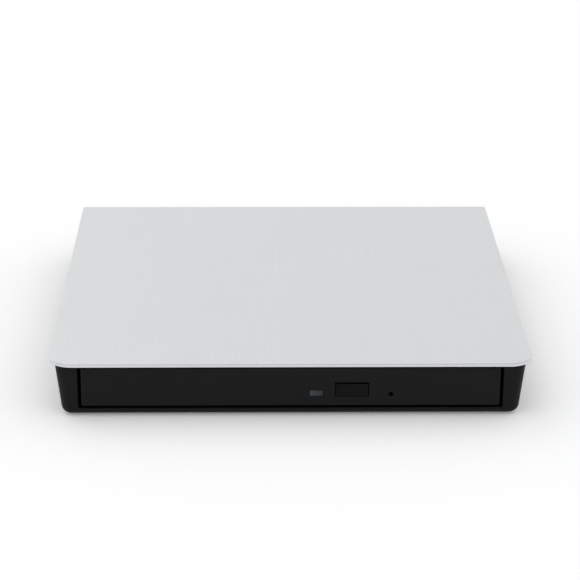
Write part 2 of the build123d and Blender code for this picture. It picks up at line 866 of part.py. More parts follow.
# Front bezel: the moulded face of the tray, with places for the button, the light and the pinhole
with BuildPart() as front_bezel:
    block((-drive_half, drive_half), (bezel_front, tray_front), (bezel_base, bezel_base + bezel_height))
    fillet(front_bezel.edges().filter_by(Axis.Y), bezel_corner_radius)
    fillet(front_bezel.faces().sort_by(Axis.Y)[0].edges(), bezel_edge_round)
    through = (bezel_front, tray_front)
    window(window_x, window_level, window_width + 2 * window_gap, window_height + 2 * window_gap, through)
    window(button_x, button_level, button_width + 2 * button_gap, button_hole_height, through)
    rod(pinhole_x, pinhole_level, pinhole_radius, through, Mode.SUBTRACT)
front_bezel.part.label = "front_bezel"
export_step(front_bezel.part, "parts/front_bezel.step")

# Activity light: a translucent window with a light guide that leads back to its lamp
with BuildPart() as led_window:
    guide_end = control_front + light_guide_gap
    window(window_x, window_level, window_width, window_height, (bezel_front, guide_end), Mode.ADD)
led_window.part.label = "led_window"
export_step(led_window.part, "parts/led_window.step")

# Lamp of the activity light, on the control board
with BuildPart() as status_led:
    led_front = guide_end + screw_gap
    led_top = window_level + window_height / 2
    led_sides = (window_x - led_size / 2, window_x + led_size / 2)
    block(led_sides, (led_front, led_front + led_size), (control_top, led_top))
status_led.part.label = "status_led"
export_step(status_led.part, "parts/status_led.step")

# Eject button: a moulded key with a sloping face, a flange behind the bezel and a stem to the switch
with BuildPart() as eject_button:
    flange_front = tray_front + button_gap
    flange_back = flange_front + button_flange
    button_front = bezel_front - button_proud
    key_level = button_level - (button_top_gap - button_low_gap) / 2
    key_base = key_level - button_height / 2
    key_top = key_level + button_height / 2
    with BuildSketch(upright(button_front)):
        with Locations((button_x, key_level)):
            RectangleRounded(button_width, button_height, bezel_edge_round)
    extrude(amount=button_front - flange_back)
    with BuildSketch(Plane.YZ.offset(button_x)):
        Polygon(
            (button_front, key_base),
            (bezel_front + button_recess, key_top),
            (button_front, key_top),
            align=None,
        )
    extrude(amount=button_width, both=True, mode=Mode.SUBTRACT)
    fillet(eject_button.faces().sort_by(Axis.Y)[0].edges(), button_edge_round)
    flange_width = button_width + 2 * button_flange
    flange_run = (flange_front, flange_back)
    window(button_x, button_level, flange_width, button_flange_height, flange_run, Mode.ADD)
    stem_back = switch_front - button_travel - running_fit
    window(button_x, button_level, button_stem, button_stem, (flange_back, stem_back), Mode.ADD)
eject_button.part.label = "eject_button"
export_step(eject_button.part, "parts/eject_button.step")

# Eject switch: a side-facing push switch on the control board
with BuildPart() as eject_switch:
    body_front = switch_front + switch_tip
    switch_sides = (button_x - switch_width / 2, button_x + switch_width / 2)
    switch_run = (body_front, body_front + switch_depth)
    block(switch_sides, switch_run, (control_top, control_top + switch_height))
    rod(button_x, button_level, switch_tip_radius, (switch_front, body_front))
eject_switch.part.label = "eject_switch"
export_step(eject_switch.part, "parts/eject_switch.step")

# Control board behind the bezel
control_screws = [
    (place_x, control_back - screw_head_radius)
    for place_x in (control_board_left + screw_head_radius, control_board_right - screw_head_radius)
]
with BuildPart() as control_board:
    control_sides = (control_board_left, control_board_right)
    block(control_sides, (control_front, control_back), (control_base, control_top))
    for place in control_screws:
        post(*place, screw_radius + screw_gap, (control_base, control_top), Mode.SUBTRACT)
control_board.part.label = "control_board"
export_step(control_board.part, "parts/control_board.step")

# Traverse frame: pressed steel, with a window for the pickup and three ears on rubber grommets
with BuildPart(traverse) as traverse_frame:
    extrude(traverse_outline(traverse_base, 0, whole_traverse, True), amount=traverse_sheet)
    sheet = (traverse_base, traverse_top)
    for reach, across in ear_places:
        post(reach, across, ear_radius, sheet)
    window_back = pickup_start - pickup_back_reach - traverse_pocket_gap
    with BuildSketch(traverse.offset(traverse_base)):
        Polygon(
            (window_back, -window_half),
            (window_front - window_corner, -window_half),
            (window_front, window_corner - window_half),
            (window_front, window_half),
            (window_back, window_half),
            align=None,
        )
    extrude(amount=traverse_sheet, mode=Mode.SUBTRACT)
    for reach, across in ear_places:
        post(reach, across, grommet_waist + screw_gap, sheet, Mode.SUBTRACT)
    post(0, 0, bearing_radius + screw_gap, sheet, Mode.SUBTRACT)
traverse_frame.part.label = "traverse_frame"
export_step(traverse_frame.part, "parts/traverse_frame.step")

# Grommets: rubber rings that hold the traverse between the bosses and the screw heads
with BuildPart(traverse) as traverse_grommets:
    for reach, across in ear_places:
        post(reach, across, grommet_radius, (traverse_base - grommet_flange, traverse_base))
        post(reach, across, grommet_waist, (traverse_base, traverse_top))
        post(reach, across, grommet_radius, (traverse_top, traverse_top + grommet_flange))
        bore = (traverse_base - grommet_flange, traverse_top + grommet_flange)
        post(reach, across, screw_radius + screw_gap, bore, Mode.SUBTRACT)
traverse_grommets.part.label = "traverse_grommets"
export_step(traverse_grommets.part, "parts/traverse_grommets.step")

# Tray screws: three through the grommets and two through the control board, all from below
with BuildPart() as tray_screws:
    ears = [traverse.from_local_coords((reach, across, 0)) for reach, across in ear_places]
    screw_places = [(ear.X, ear.Y, traverse_base - grommet_flange) for ear in ears]
    screw_places += [(*place, control_base) for place in control_screws]
    for place_x, place_y, seat in screw_places:
        post(place_x, place_y, screw_head_radius, (seat - screw_head_height, seat))
        post(place_x, place_y, screw_radius, (seat, tray_floor_base - running_gap))
        with Locations((place_x, place_y, seat - screw_head_height)):
            Box(2 * screw_radius, screw_radius / 2, screw_head_height, mode=Mode.SUBTRACT)
            Box(screw_radius / 2, 2 * screw_radius, screw_head_height, mode=Mode.SUBTRACT)
tray_screws.part.label = "tray_screws"
export_step(tray_screws.part, "parts/tray_screws.step")

# Traverse cover: a thin dress plate in the dish floor, with a round hole for the motor and a lens slot
with BuildPart(traverse) as traverse_cover:
    cover_limit = dish_radius - dish_edge_round - dress_gap
    extrude(traverse_outline(dress_base, ledge - dress_gap, cover_limit, False), amount=dress_sheet)
    post(0, 0, rotor_radius + 2 * running_gap, (dress_base, dish_floor), Mode.SUBTRACT)
    block((0, whole_traverse), (-lens_slot, lens_slot), (dress_base, dish_floor), Mode.SUBTRACT)
traverse_cover.part.label = "traverse_cover"
export_step(traverse_cover.part, "parts/traverse_cover.step")

# Spindle bearing: a brass sleeve closed at the bottom, with a flange under the traverse and a shoulder above
stator_base = rotor_base + running_gap
bearing_bottom = traverse_base - bearing_sheet
shaft_bottom = bearing_bottom + bearing_end
with BuildPart(traverse) as spindle_bearing:
    post(0, 0, bearing_flange, (bearing_bottom, traverse_base))
    post(0, 0, bearing_radius, (traverse_base, rotor_top - rotor_wall - running_gap))
    post(0, 0, bearing_shoulder, (traverse_top, stator_base))
    post(0, 0, shaft_radius + shaft_gap, (shaft_bottom, rotor_top), Mode.SUBTRACT)
spindle_bearing.part.label = "spindle_bearing"
export_step(spindle_bearing.part, "parts/spindle_bearing.step")

# Stator: a stack of steel sheets with a ring of teeth, and one copper coil on each tooth
tooth_root = stator_hub - stator_tooth_width / 2
tooth_head = stator_tooth_width / 2
tooth_middle = (stator_hub + stator_radius) / 2
with BuildPart(traverse) as spindle_stator:
    post(0, 0, stator_hub, (stator_base, stator_base + stator_sheet))
    with Locations((0, 0, stator_base + stator_sheet / 2)):
        with PolarLocations((tooth_root + stator_radius - tooth_head / 2) / 2, stator_teeth):
            Box(stator_radius - tooth_head / 2 - tooth_root, stator_tooth_width, stator_sheet)
        with PolarLocations(stator_radius - tooth_head / 2, stator_teeth):
            Box(tooth_head, tooth_head_width, stator_sheet)
    post(0, 0, bearing_radius, (stator_base, stator_base + stator_sheet), Mode.SUBTRACT)
spindle_stator.part.label = "spindle_stator"
export_step(spindle_stator.part, "parts/spindle_stator.step")

with BuildPart(traverse) as stator_windings:
    with Locations((0, 0, stator_base + stator_sheet / 2)):
        with PolarLocations(tooth_middle, stator_teeth):
            Box(winding_length, stator_tooth_width + 2 * winding_build, stator_sheet + 2 * winding_build)
            Box(winding_length, stator_tooth_width, stator_sheet, mode=Mode.SUBTRACT)
stator_windings.part.label = "stator_windings"
export_step(stator_windings.part, "parts/stator_windings.step")

# Rotor: a steel cup over the stator with a ring magnet inside, on a steel shaft
with BuildPart(traverse) as rotor_cup:
    post(0, 0, rotor_radius, (rotor_base, rotor_top))
    post(0, 0, rotor_radius - rotor_wall, (rotor_base, rotor_top - rotor_wall), Mode.SUBTRACT)
    post(0, 0, shaft_radius, (rotor_base, rotor_top), Mode.SUBTRACT)
rotor_cup.part.label = "rotor_cup"
export_step(rotor_cup.part, "parts/rotor_cup.step")

with BuildPart(traverse) as rotor_magnet:
    post(0, 0, rotor_radius - rotor_wall, (rotor_base, rotor_top - rotor_wall))
    post(0, 0, stator_radius + running_gap, (rotor_base, rotor_top - rotor_wall), Mode.SUBTRACT)
rotor_magnet.part.label = "rotor_magnet"
export_step(rotor_magnet.part, "parts/rotor_magnet.step")

hub_wall_top = pad_base + hub_wall_height
with BuildPart(traverse) as spindle_shaft:
    post(0, 0, shaft_radius, (shaft_bottom, hub_wall_top + shaft_proud))
spindle_shaft.part.label = "spindle_shaft"
export_step(spindle_shaft.part, "parts/spindle_shaft.step")

# Turntable: moulded in one with the hub that centres the disc, with pockets for three spring tabs
tab_top = hub_wall_top - hub_tab_height / 2
tab_base = tab_top - hub_tab_height
tab_place = hub_radius + hub_tab_proud - hub_tab_depth / 2
with BuildPart(traverse) as turntable:
    post(0, 0, turntable_boss, (rotor_top, turntable_base))
    post(0, 0, turntable_radius, (turntable_base, pad_base))
    post(0, 0, hub_radius, (pad_base, hub_wall_top))
    with Locations((0, 0, (hub_wall_top + pad_base + hub_height) / 2)):
        Cone(hub_radius, hub_crown_radius, hub_height - hub_wall_height)
    with Locations((0, 0, (tab_base + tab_top) / 2)):
        with PolarLocations(tab_place, hub_tabs_count):
            Box(hub_tab_depth, hub_tab_width, hub_tab_height, mode=Mode.SUBTRACT)
    post(0, 0, shaft_radius, (rotor_top, hub_wall_top), Mode.SUBTRACT)
    post(0, 0, hub_crown_radius - rotor_wall, (hub_wall_top, pad_base + hub_height), Mode.SUBTRACT)
turntable.part.label = "turntable"
export_step(turntable.part, "parts/turntable.step")

with BuildPart(traverse) as hub_tabs:
    with Locations((0, 0, (tab_base + tab_top) / 2)):
        with PolarLocations(tab_place, hub_tabs_count):
            Box(hub_tab_depth, hub_tab_width, hub_tab_height)
hub_tabs.part.label = "hub_tabs"
export_step(hub_tabs.part, "parts/hub_tabs.step")

# Disc pad: the soft ring that the disc lies on
with BuildPart(traverse) as disc_pad:
    post(0, 0, turntable_radius - running_fit, (pad_base, seat_height))
    post(0, 0, turntable_radius - pad_width, (pad_base, seat_height), Mode.SUBTRACT)
disc_pad.part.label = "disc_pad"
export_step(disc_pad.part, "parts/disc_pad.step")

# Guide rods, held down at their ends by small clamps
rod_end = window_front + screw_gap + rod_clamp_length
clamp_reaches = ((rod_start, rod_start + rod_clamp_length), (rod_end - rod_clamp_length, rod_end))
with BuildPart(traverse) as guide_rods:
    for across in (-rod_offset, rod_offset):
        traverse_rod(across, rod_axis, rod_radius, (rod_start, rod_end))
guide_rods.part.label = "guide_rods"
export_step(guide_rods.part, "parts/guide_rods.step")

with BuildPart(traverse) as rod_clamps:
    for across in (-rod_offset, rod_offset):
        for clamp in clamp_reaches:
            sides = (across - rod_clamp_half_width, across + rod_clamp_half_width)
            block(clamp, sides, (traverse_top, traverse_top + rod_clamp_height))
            traverse_rod(across, rod_axis, rod_radius, clamp, Mode.SUBTRACT)
            block(clamp, (across - rod_radius, across + rod_radius), (traverse_top, rod_axis), Mode.SUBTRACT)
rod_clamps.part.label = "rod_clamps"
export_step(rod_clamps.part, "parts/rod_clamps.step")

# Pickup: a die-cast body on the guide rods, with a pocket for the lens and a tooth on the lead screw
pickup_back = pickup_start - pickup_back_reach
pickup_front = pickup_start + pickup_front_reach
body_top = pickup_top
shield_top = body_top + pickup_sheet
holder_base = lens_top - lens_proud - turret_height - holder_height
pocket_floor = holder_base - focus_travel - running_gap
pocket = (pickup_start - actuator_half_length, pickup_start + actuator_half_length)
back_lug = (pickup_back + running_gap, pickup_back + running_gap + pickup_lug)
front_lug = (pickup_front - pickup_lug - pickup_lug / 2, pickup_front - pickup_lug / 2)
middle_lug = (pickup_start - pickup_lug, pickup_start)
body_z = (pickup_base_height, body_top)
with BuildPart(traverse) as pickup_base:
    block((pickup_back, pickup_front), (-pickup_body_half, pickup_body_half), body_z)
    for lug in (back_lug, front_lug):
        block(lug, (pickup_body_half, pickup_half_width), body_z)
    block(middle_lug, (-pickup_half_width, -pickup_body_half), body_z)
    nut_low = lead_axis - rod_radius / 2
    nut_tip = lead_offset - lead_radius - nut_gap
    block(back_lug, (pickup_half_width, nut_tip), (nut_low, nut_low + rod_radius))
    block(pocket, (-actuator_half_width, actuator_half_width), (pocket_floor, body_top), Mode.SUBTRACT)
    for across in (-rod_offset, rod_offset):
        traverse_rod(across, rod_axis, rod_radius + shaft_gap, (pickup_back, pickup_front), Mode.SUBTRACT)
    slot_z = (rod_axis - rod_radius - shaft_gap, rod_axis + rod_radius + shaft_gap)
    block(middle_lug, (-pickup_half_width, -rod_offset), slot_z, Mode.SUBTRACT)
    post(0, 0, rotor_radius + traverse_pocket_gap, body_z, Mode.SUBTRACT)
pickup_base.part.label = "pickup_base"
export_step(pickup_base.part, "parts/pickup_base.step")

with BuildPart(traverse) as pickup_shield:
    block((pickup_back, pickup_front), (-pickup_body_half, pickup_body_half), (body_top, shield_top))
    block(pocket, (-actuator_half_width, actuator_half_width), (body_top, shield_top), Mode.SUBTRACT)
    post(0, 0, rotor_radius + traverse_pocket_gap, (body_top, shield_top), Mode.SUBTRACT)
pickup_shield.part.label = "pickup_shield"
export_step(pickup_shield.part, "parts/pickup_shield.step")

with BuildPart(traverse) as pickup_magnets:
    for low in (pocket[0], pocket[1] - magnet_thickness):
        magnet_z = (pocket_floor, pocket_floor + magnet_height)
        block((low, low + magnet_thickness), (-magnet_half_width, magnet_half_width), magnet_z)
pickup_magnets.part.label = "pickup_magnets"
export_step(pickup_magnets.part, "parts/pickup_magnets.step")

# Lens holder and lens, hung in the pickup's pocket on wires too thin to model
holder_top = holder_base + holder_height
turret_top = holder_top + turret_height
lens_base = lens_top - lens_thickness
with BuildPart(traverse) as lens_holder:
    block(
        (pickup_start - holder_half_length, pickup_start + holder_half_length),
        (-holder_half_width, holder_half_width),
        (holder_base, holder_top),
    )
    post(pickup_start, 0, turret_radius, (holder_top, turret_top))
    post(pickup_start, 0, lens_radius, (lens_base, turret_top), Mode.SUBTRACT)
lens_holder.part.label = "lens_holder"
export_step(lens_holder.part, "parts/lens_holder.step")

dome_radius = (lens_radius**2 + lens_proud**2) / (2 * lens_proud)
dome_turn = math.asin(lens_radius / dome_radius)
with BuildPart() as objective_lens:
    with BuildSketch(traverse_section(pickup_start)):
        with BuildLine():
            Polyline((0, lens_top), (0, lens_base), (lens_radius, lens_base), (lens_radius, turret_top))
            dome_drop = dome_radius * (1 - math.cos(dome_turn / 2))
            dome_middle = (dome_radius * math.sin(dome_turn / 2), lens_top - dome_drop)
            ThreePointArc((lens_radius, turret_top), dome_middle, (0, lens_top))
        make_face()
    lens_foot = traverse.from_local_coords((pickup_start, 0, 0))
    revolve(axis=Axis(lens_foot, (0, 0, 1)))
objective_lens.part.label = "objective_lens"
export_step(objective_lens.part, "parts/objective_lens.step")

# Sled drive: a small motor whose shaft is the lead screw, between two upright tabs on the traverse
with BuildPart(traverse) as sled_motor:
    motor_run = (sled_motor_end - sled_motor_length, sled_motor_end)
    traverse_rod(lead_offset, lead_axis, sled_motor_radius, motor_run)
sled_motor.part.label = "sled_motor"
export_step(sled_motor.part, "parts/sled_motor.step")

with BuildPart(traverse) as sled_brackets:
    tabs = ((sled_motor_end, sled_motor_end + sled_tab), (lead_end, lead_end + sled_tab))
    for tab in tabs:
        sides = (lead_offset - sled_tab_half_width, lead_offset + sled_tab_half_width)
        block(tab, sides, (traverse_top, lead_axis + sled_tab_rise))
    traverse_rod(lead_offset, lead_axis, lead_radius + shaft_gap, tabs[0], Mode.SUBTRACT)
    traverse_rod(lead_offset, lead_axis, lead_pivot_radius + shaft_gap, tabs[1], Mode.SUBTRACT)
sled_brackets.part.label = "sled_brackets"
export_step(sled_brackets.part, "parts/sled_brackets.step")

with BuildPart(traverse) as lead_screw:
    thread_end = lead_end - running_fit
    traverse_rod(lead_offset, lead_axis, lead_radius, (sled_motor_end + running_fit, thread_end))
    traverse_rod(lead_offset, lead_axis, lead_pivot_radius, (thread_end, thread_end + lead_pivot_length))
lead_screw.part.label = "lead_screw"
export_step(lead_screw.part, "parts/lead_screw.step")

# Solenoid: two flanges and a coil, lying across the tray in its saddle
with BuildPart() as solenoid:
    with BuildSketch(Plane.YZ.offset(solenoid_start)):
        with Locations((solenoid_y, solenoid_axis)):
            Circle(solenoid_radius)
    extrude(amount=solenoid_length)
solenoid.part.label = "solenoid"
export_step(solenoid.part, "parts/solenoid.step")

# Latch lever: it turns on the tray's pivot, and its tooth closes behind the post on the pan
ready_turn = math.radians(latch_hooked_turn - latch_swing)
hooked_turn = math.radians(latch_hooked_turn)
post_offset_x = post_x - latch_pivot_x
post_offset_y = post_y - latch_pivot_y
post_reach = post_offset_x * math.cos(hooked_turn) + post_offset_y * math.sin(hooked_turn)
tooth_base = post_reach + post_radius + running_gap
tooth_end = tooth_base + latch_tooth_width
lever_z = (latch_base, latch_top)
latch = Plane(
    origin=(latch_pivot_x, latch_pivot_y, 0),
    x_dir=(math.cos(ready_turn), math.sin(ready_turn), 0),
    z_dir=(0, 0, 1),
)
with BuildPart(latch) as latch_lever:
    block((0, tooth_end), (-latch_arm_half_width, latch_arm_half_width), lever_z)
    block((tooth_base, tooth_end), (-latch_arm_half_width, latch_tooth_reach), lever_z)
    block((-latch_armature_reach, 0), (-pivot_radius, pivot_radius), lever_z)
    armature_low = -latch_armature_reach - latch_armature_half_length
    armature_run = (armature_low, armature_low + 2 * latch_armature_half_length)
    block(armature_run, (-pivot_radius, pivot_radius + latch_armature_width), lever_z)
    block((latch_tail_low, latch_tail_low + latch_tail_width), (0, latch_tail_reach), lever_z)
    post(0, 0, latch_hub_radius, lever_z)
    post(0, 0, pivot_radius + pivot_gap, lever_z, Mode.SUBTRACT)
latch_lever.part.label = "latch_lever"
export_step(latch_lever.part, "parts/latch_lever.step")

# Lock post on the pan, which the latch hooks
with BuildPart() as lock_post:
    post(post_x, post_y, post_flange_radius, (case_floor_top, case_floor_top + post_flange))
    post(post_x, post_y, post_radius, (case_floor_top, case_floor_top + post_height))
lock_post.part.label = "lock_post"
export_step(lock_post.part, "parts/lock_post.step")

# Emergency slider: a bar behind the pinhole with an arm that reaches towards the latch
with BuildPart() as emergency_slider:
    slider_z = (slider_base, slider_top)
    slider_sides = (pinhole_x - slider_width / 2, pinhole_x + slider_width / 2)
    block(slider_sides, (slider_front, slider_front + slider_length), slider_z)
    arm_run = (slider_arm_y, slider_arm_y + slider_arm_width)
    block((pinhole_x, latch_pivot_x - slider_arm_gap), arm_run, slider_z)
emergency_slider.part.label = "emergency_slider"
export_step(emergency_slider.part, "parts/emergency_slider.step")

# Push rod: the sprung rod that starts the tray on its way out, with the collar that the spring pushes on
collar_front = plunger_front_lug + lug_thickness + spring_length
with BuildPart() as push_rod:
    rod(plunger_x, plunger_axis, plunger_radius, (plunger_tip - plunger_length, plunger_tip))
    collar_back = collar_front + plunger_collar_length
    rod(plunger_x, plunger_axis, plunger_collar_radius, (collar_front, collar_back))
push_rod.part.label = "push_rod"
export_step(push_rod.part, "parts/push_rod.step")

with BuildPart() as push_spring:
    spring_range = (plunger_front_lug + lug_thickness, collar_front)
    rod(plunger_x, plunger_axis, plunger_collar_radius, spring_range)
    rod(plunger_x, plunger_axis, plunger_collar_radius - spring_wire, spring_range, Mode.SUBTRACT)
push_spring.part.label = "push_spring"
export_step(push_spring.part, "parts/push_spring.step")

# Drive board on the pan, on an insulating sheet, with its chips and connectors
plug_front = case_back - plug_depth
with BuildPart() as board_insulator:
    block((board_left, board_right), (board_front, board_back), (case_floor_top, board_base))
board_insulator.part.label = "board_insulator"
export_step(board_insulator.part, "parts/board_insulator.step")

with BuildPart() as drive_board:
    block((board_left, board_right), (board_front, board_back), (board_base, board_top))
drive_board.part.label = "drive_board"
export_step(drive_board.part, "parts/drive_board.step")

# Each chip: its place from the middle of the board's front edge, then its width, depth and height
drive_chips = (
    (3.0, 14.0, 14.0, 14.0, 1.2),
    (-13.0, 11.0, 8.0, 5.5, 1.0),
    (21.0, 25.0, 9.0, 9.0, 1.0),
    (-31.0, 18.0, 6.5, 6.5, 0.9),
    (16.0, 8.0, 3.2, 2.5, 0.8),
    (35.0, 24.0, 5.0, 4.0, 0.9),
    (-35.0, 7.0, 3.0, 3.0, 1.2),
)
board_middle = (board_left + board_right) / 2
with BuildPart() as drive_chips_group:
    for place_x, place_y, width, depth, height in drive_chips:
        with Locations((board_middle + place_x, board_front + place_y, board_top)):
            Box(width, depth, height, align=(Align.CENTER, Align.CENTER, Align.MIN))
drive_chips_group.part.label = "drive_chips"
export_step(drive_chips_group.part, "parts/drive_chips.step")

with BuildPart() as flex_connector:
    connector_front = board_front + running_gap
    connector_x = (flex_x - connector_width / 2, flex_x + connector_width / 2)
    connector_y = (connector_front, connector_front + connector_depth)
    block(connector_x, connector_y, (board_top, board_top + connector_height))
    block(
        (flex_x - flex_half_width - screw_gap, flex_x + flex_half_width + screw_gap),
        (connector_front, connector_front + connector_slot),
        (flex_lower, flex_lower + flex_thickness),
        Mode.SUBTRACT,
    )
flex_connector.part.label = "flex_connector"
export_step(flex_connector.part, "parts/flex_connector.step")

plug_z = (board_top, board_top + plug_height)
plug_inner = plug_half_width - plug_wall
plug_inner_z = (board_top + plug_wall, board_top + plug_height - plug_wall)
with BuildPart() as drive_plug:
    block((plug_x - plug_half_width, plug_x + plug_half_width), (plug_front, case_back), plug_z)
    plug_mouth = (case_back - nose_depth, case_back)
    block((plug_x - plug_inner, plug_x + plug_inner), plug_mouth, plug_inner_z, Mode.SUBTRACT)
drive_plug.part.label = "drive_plug"
export_step(drive_plug.part, "parts/drive_plug.step")

# Flat cable between the drive board and the tray: a ribbon that lies folded forwards
with BuildPart() as tray_flex:
    with BuildSketch(Plane.YZ.offset(flex_x - flex_half_width)):
        fold_axis = (flex_lower + flex_upper + flex_thickness) / 2
        fold_radius = (flex_upper + flex_thickness - flex_lower) / 2
        strands = ((flex_lower, connector_front + connector_slot), (flex_upper, flex_tray_end))
        for strand_base, strand_end in strands:
            with Locations(((flex_fold_y + strand_end) / 2, strand_base + flex_thickness / 2)):
                Rectangle(strand_end - flex_fold_y, flex_thickness)
        with Locations((flex_fold_y, fold_axis)):
            Circle(fold_radius)
            Circle(fold_radius - flex_thickness, mode=Mode.SUBTRACT)
        with Locations((flex_fold_y + fold_radius, fold_axis)):
            Rectangle(2 * fold_radius, 2 * (fold_radius - flex_thickness), mode=Mode.SUBTRACT)
    extrude(amount=2 * flex_half_width)
tray_flex.part.label = "tray_flex"
export_step(tray_flex.part, "parts/tray_flex.step")

# Bridge board behind the drive, on two bosses of the tub, with its chips, receptacle, socket and screws
bridge_front = case_back + bridge_front_gap
bridge_screw_places = (
    (bridge_left + bridge_screw_inset, bridge_middle),
    (bridge_right - bridge_screw_inset, bridge_middle),
)
with BuildPart() as bridge_board:
    block((bridge_left, bridge_right), (bridge_front, bridge_front + bridge_depth), (bridge_base, bridge_top))
    for place in bridge_screw_places:
        post(*place, screw_radius + screw_gap, (bridge_base, bridge_top), Mode.SUBTRACT)
bridge_board.part.label = "bridge_board"
export_step(bridge_board.part, "parts/bridge_board.step")

with BuildPart() as bridge_screws:
    for place in bridge_screw_places:
        post(*place, screw_radius, (floor_top + running_gap, bridge_top))
        post(*place, screw_head_radius, (bridge_top, bridge_top + screw_head_height))
bridge_screws.part.label = "bridge_screws"
export_step(bridge_screws.part, "parts/bridge_screws.step")

# Each chip: its place from the board's front left corner, then its width, depth and height
bridge_chips = (
    (41.0, 4.6, 7.0, 7.0, 1.0),
    (30.5, 7.6, 3.2, 2.5, 0.8),
    (4.0, 1.6, 3.0, 1.6, 1.4),
    (48.5, 1.6, 4.0, 1.8, 0.8),
)
with BuildPart() as bridge_chips_group:
    for place_x, place_y, width, depth, height in bridge_chips:
        with Locations((bridge_left + place_x, bridge_front + place_y, bridge_top)):
            Box(width, depth, height, align=(Align.CENTER, Align.CENTER, Align.MIN))
bridge_chips_group.part.label = "bridge_chips"
export_step(bridge_chips_group.part, "parts/bridge_chips.step")

with BuildPart() as bridge_receptacle:
    receptacle_back = bridge_front + receptacle_depth
    nose_half = plug_inner - nose_gap
    block(
        (plug_x - plug_half_width, plug_x + plug_half_width),
        (bridge_front, receptacle_back),
        (bridge_top, bridge_top + receptacle_height),
    )
    block(
        (plug_x - nose_half, plug_x + nose_half),
        (case_back - nose_depth + nose_gap, bridge_front),
        (bridge_top, plug_inner_z[1] - nose_gap),
    )
bridge_receptacle.part.label = "bridge_receptacle"
export_step(bridge_receptacle.part, "parts/bridge_receptacle.step")

# Cable socket: a folded steel shell on the bridge board, with a moulded tongue inside
socket_front = tub_rear(socket_level) - socket_recess
socket_back = socket_front - socket_depth
socket_inner_width = socket_width - 2 * socket_wall
socket_inner_height = socket_height - 2 * socket_wall
with BuildPart() as usb_socket:
    window(socket_x, socket_level, socket_width, socket_height, (socket_back, socket_front), Mode.ADD)
    fillet(usb_socket.edges().filter_by(Axis.Y), 2 * socket_wall)
    window(socket_x, socket_level, socket_inner_width, socket_inner_height, (socket_back, socket_front))
usb_socket.part.label = "usb_socket"
export_step(usb_socket.part, "parts/usb_socket.step")

with BuildPart() as socket_tongue:
    tongue_base = (socket_back, socket_back + tongue_back)
    tongue_run = (socket_back + tongue_back, socket_front - tongue_back)
    window(socket_x, socket_level, socket_inner_width, socket_inner_height, tongue_base, Mode.ADD)
    window(socket_x - socket_width / 5, socket_level, socket_width / 2, tongue_height, tongue_run, Mode.ADD)
    window(socket_x + socket_width / 4, socket_level, socket_width / 4, tongue_height, tongue_run, Mode.ADD)
socket_tongue.part.label = "socket_tongue"
export_step(socket_tongue.part, "parts/socket_tongue.step")
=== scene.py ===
import math

import bpy
import numpy as np
from mathutils import Matrix, Vector


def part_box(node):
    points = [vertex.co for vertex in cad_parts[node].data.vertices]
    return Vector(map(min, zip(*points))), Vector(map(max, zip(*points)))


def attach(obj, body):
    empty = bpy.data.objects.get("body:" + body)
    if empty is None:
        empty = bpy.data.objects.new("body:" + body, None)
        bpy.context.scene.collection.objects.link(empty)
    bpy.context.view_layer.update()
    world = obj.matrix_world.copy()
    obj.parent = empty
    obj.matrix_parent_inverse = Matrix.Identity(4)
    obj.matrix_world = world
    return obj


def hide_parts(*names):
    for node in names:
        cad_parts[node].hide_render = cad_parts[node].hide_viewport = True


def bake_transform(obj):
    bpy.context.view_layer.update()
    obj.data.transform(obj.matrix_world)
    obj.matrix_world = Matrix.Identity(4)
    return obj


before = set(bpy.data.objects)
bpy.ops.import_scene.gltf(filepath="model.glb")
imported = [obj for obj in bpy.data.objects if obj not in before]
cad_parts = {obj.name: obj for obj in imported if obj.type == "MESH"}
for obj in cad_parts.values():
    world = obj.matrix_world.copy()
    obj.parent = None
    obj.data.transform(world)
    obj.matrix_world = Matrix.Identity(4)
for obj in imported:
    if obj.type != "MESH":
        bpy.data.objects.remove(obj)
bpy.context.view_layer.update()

# Studio: a pale seamless floor, an even white surround and two large soft lamps, behind and overhead.
# Floor and surround are brighter where they are seen than where they light the drive, so they show white.
# The camera stands where the photograph's was, 65 cm in front of the drive's middle and 27 cm up.
scene = bpy.context.scene
scene.view_settings.view_transform = "Standard"
MM = 0.001


def new_material(name):
    """A material with an empty Principled surface; returns it with its node tree and shader."""
    made = bpy.data.materials.new(name)
    made.use_nodes = True
    return made, made.node_tree, made.node_tree.nodes["Principled BSDF"]


def node(tree, kind, settings=None, **sockets):
    """A node of a kind, with its settings and the values of its sockets, spaces written as underscores."""
    made = tree.nodes.new(kind)
    for key, value in (settings or {}).items():
        setattr(made, key, value)
    for key, value in sockets.items():
        made.inputs[key.replace("_", " ")].default_value = value
    return made


def chain(tree, *pairs):
    """Joins outputs to inputs, given as (from node, output, to node, input), by their names or places."""
    for start, output, end, target in pairs:
        tree.links.new(start.outputs[output], end.inputs[target])


def split_by_ray(tree, lighting, seen, ending):
    """Ends a tree in one shader for the light it gives, and another where it is seen or mirrored."""
    rays = node(tree, "ShaderNodeLightPath")
    either = node(tree, "ShaderNodeMath", {"operation": "MAXIMUM"})
    any_of = node(tree, "ShaderNodeMath", {"operation": "MAXIMUM"})
    pick = node(tree, "ShaderNodeMixShader")
    chain(
        tree,
        (rays, "Is Camera Ray", either, 0),
        (rays, "Is Glossy Ray", either, 1),
        (either, "Value", any_of, 0),
        (rays, "Is Transmission Ray", any_of, 1),
        (any_of, "Value", pick, 0),
        (lighting, 0, pick, 1),
        (seen, 0, pick, 2),
        (pick, 0, ending, "Surface"),
    )


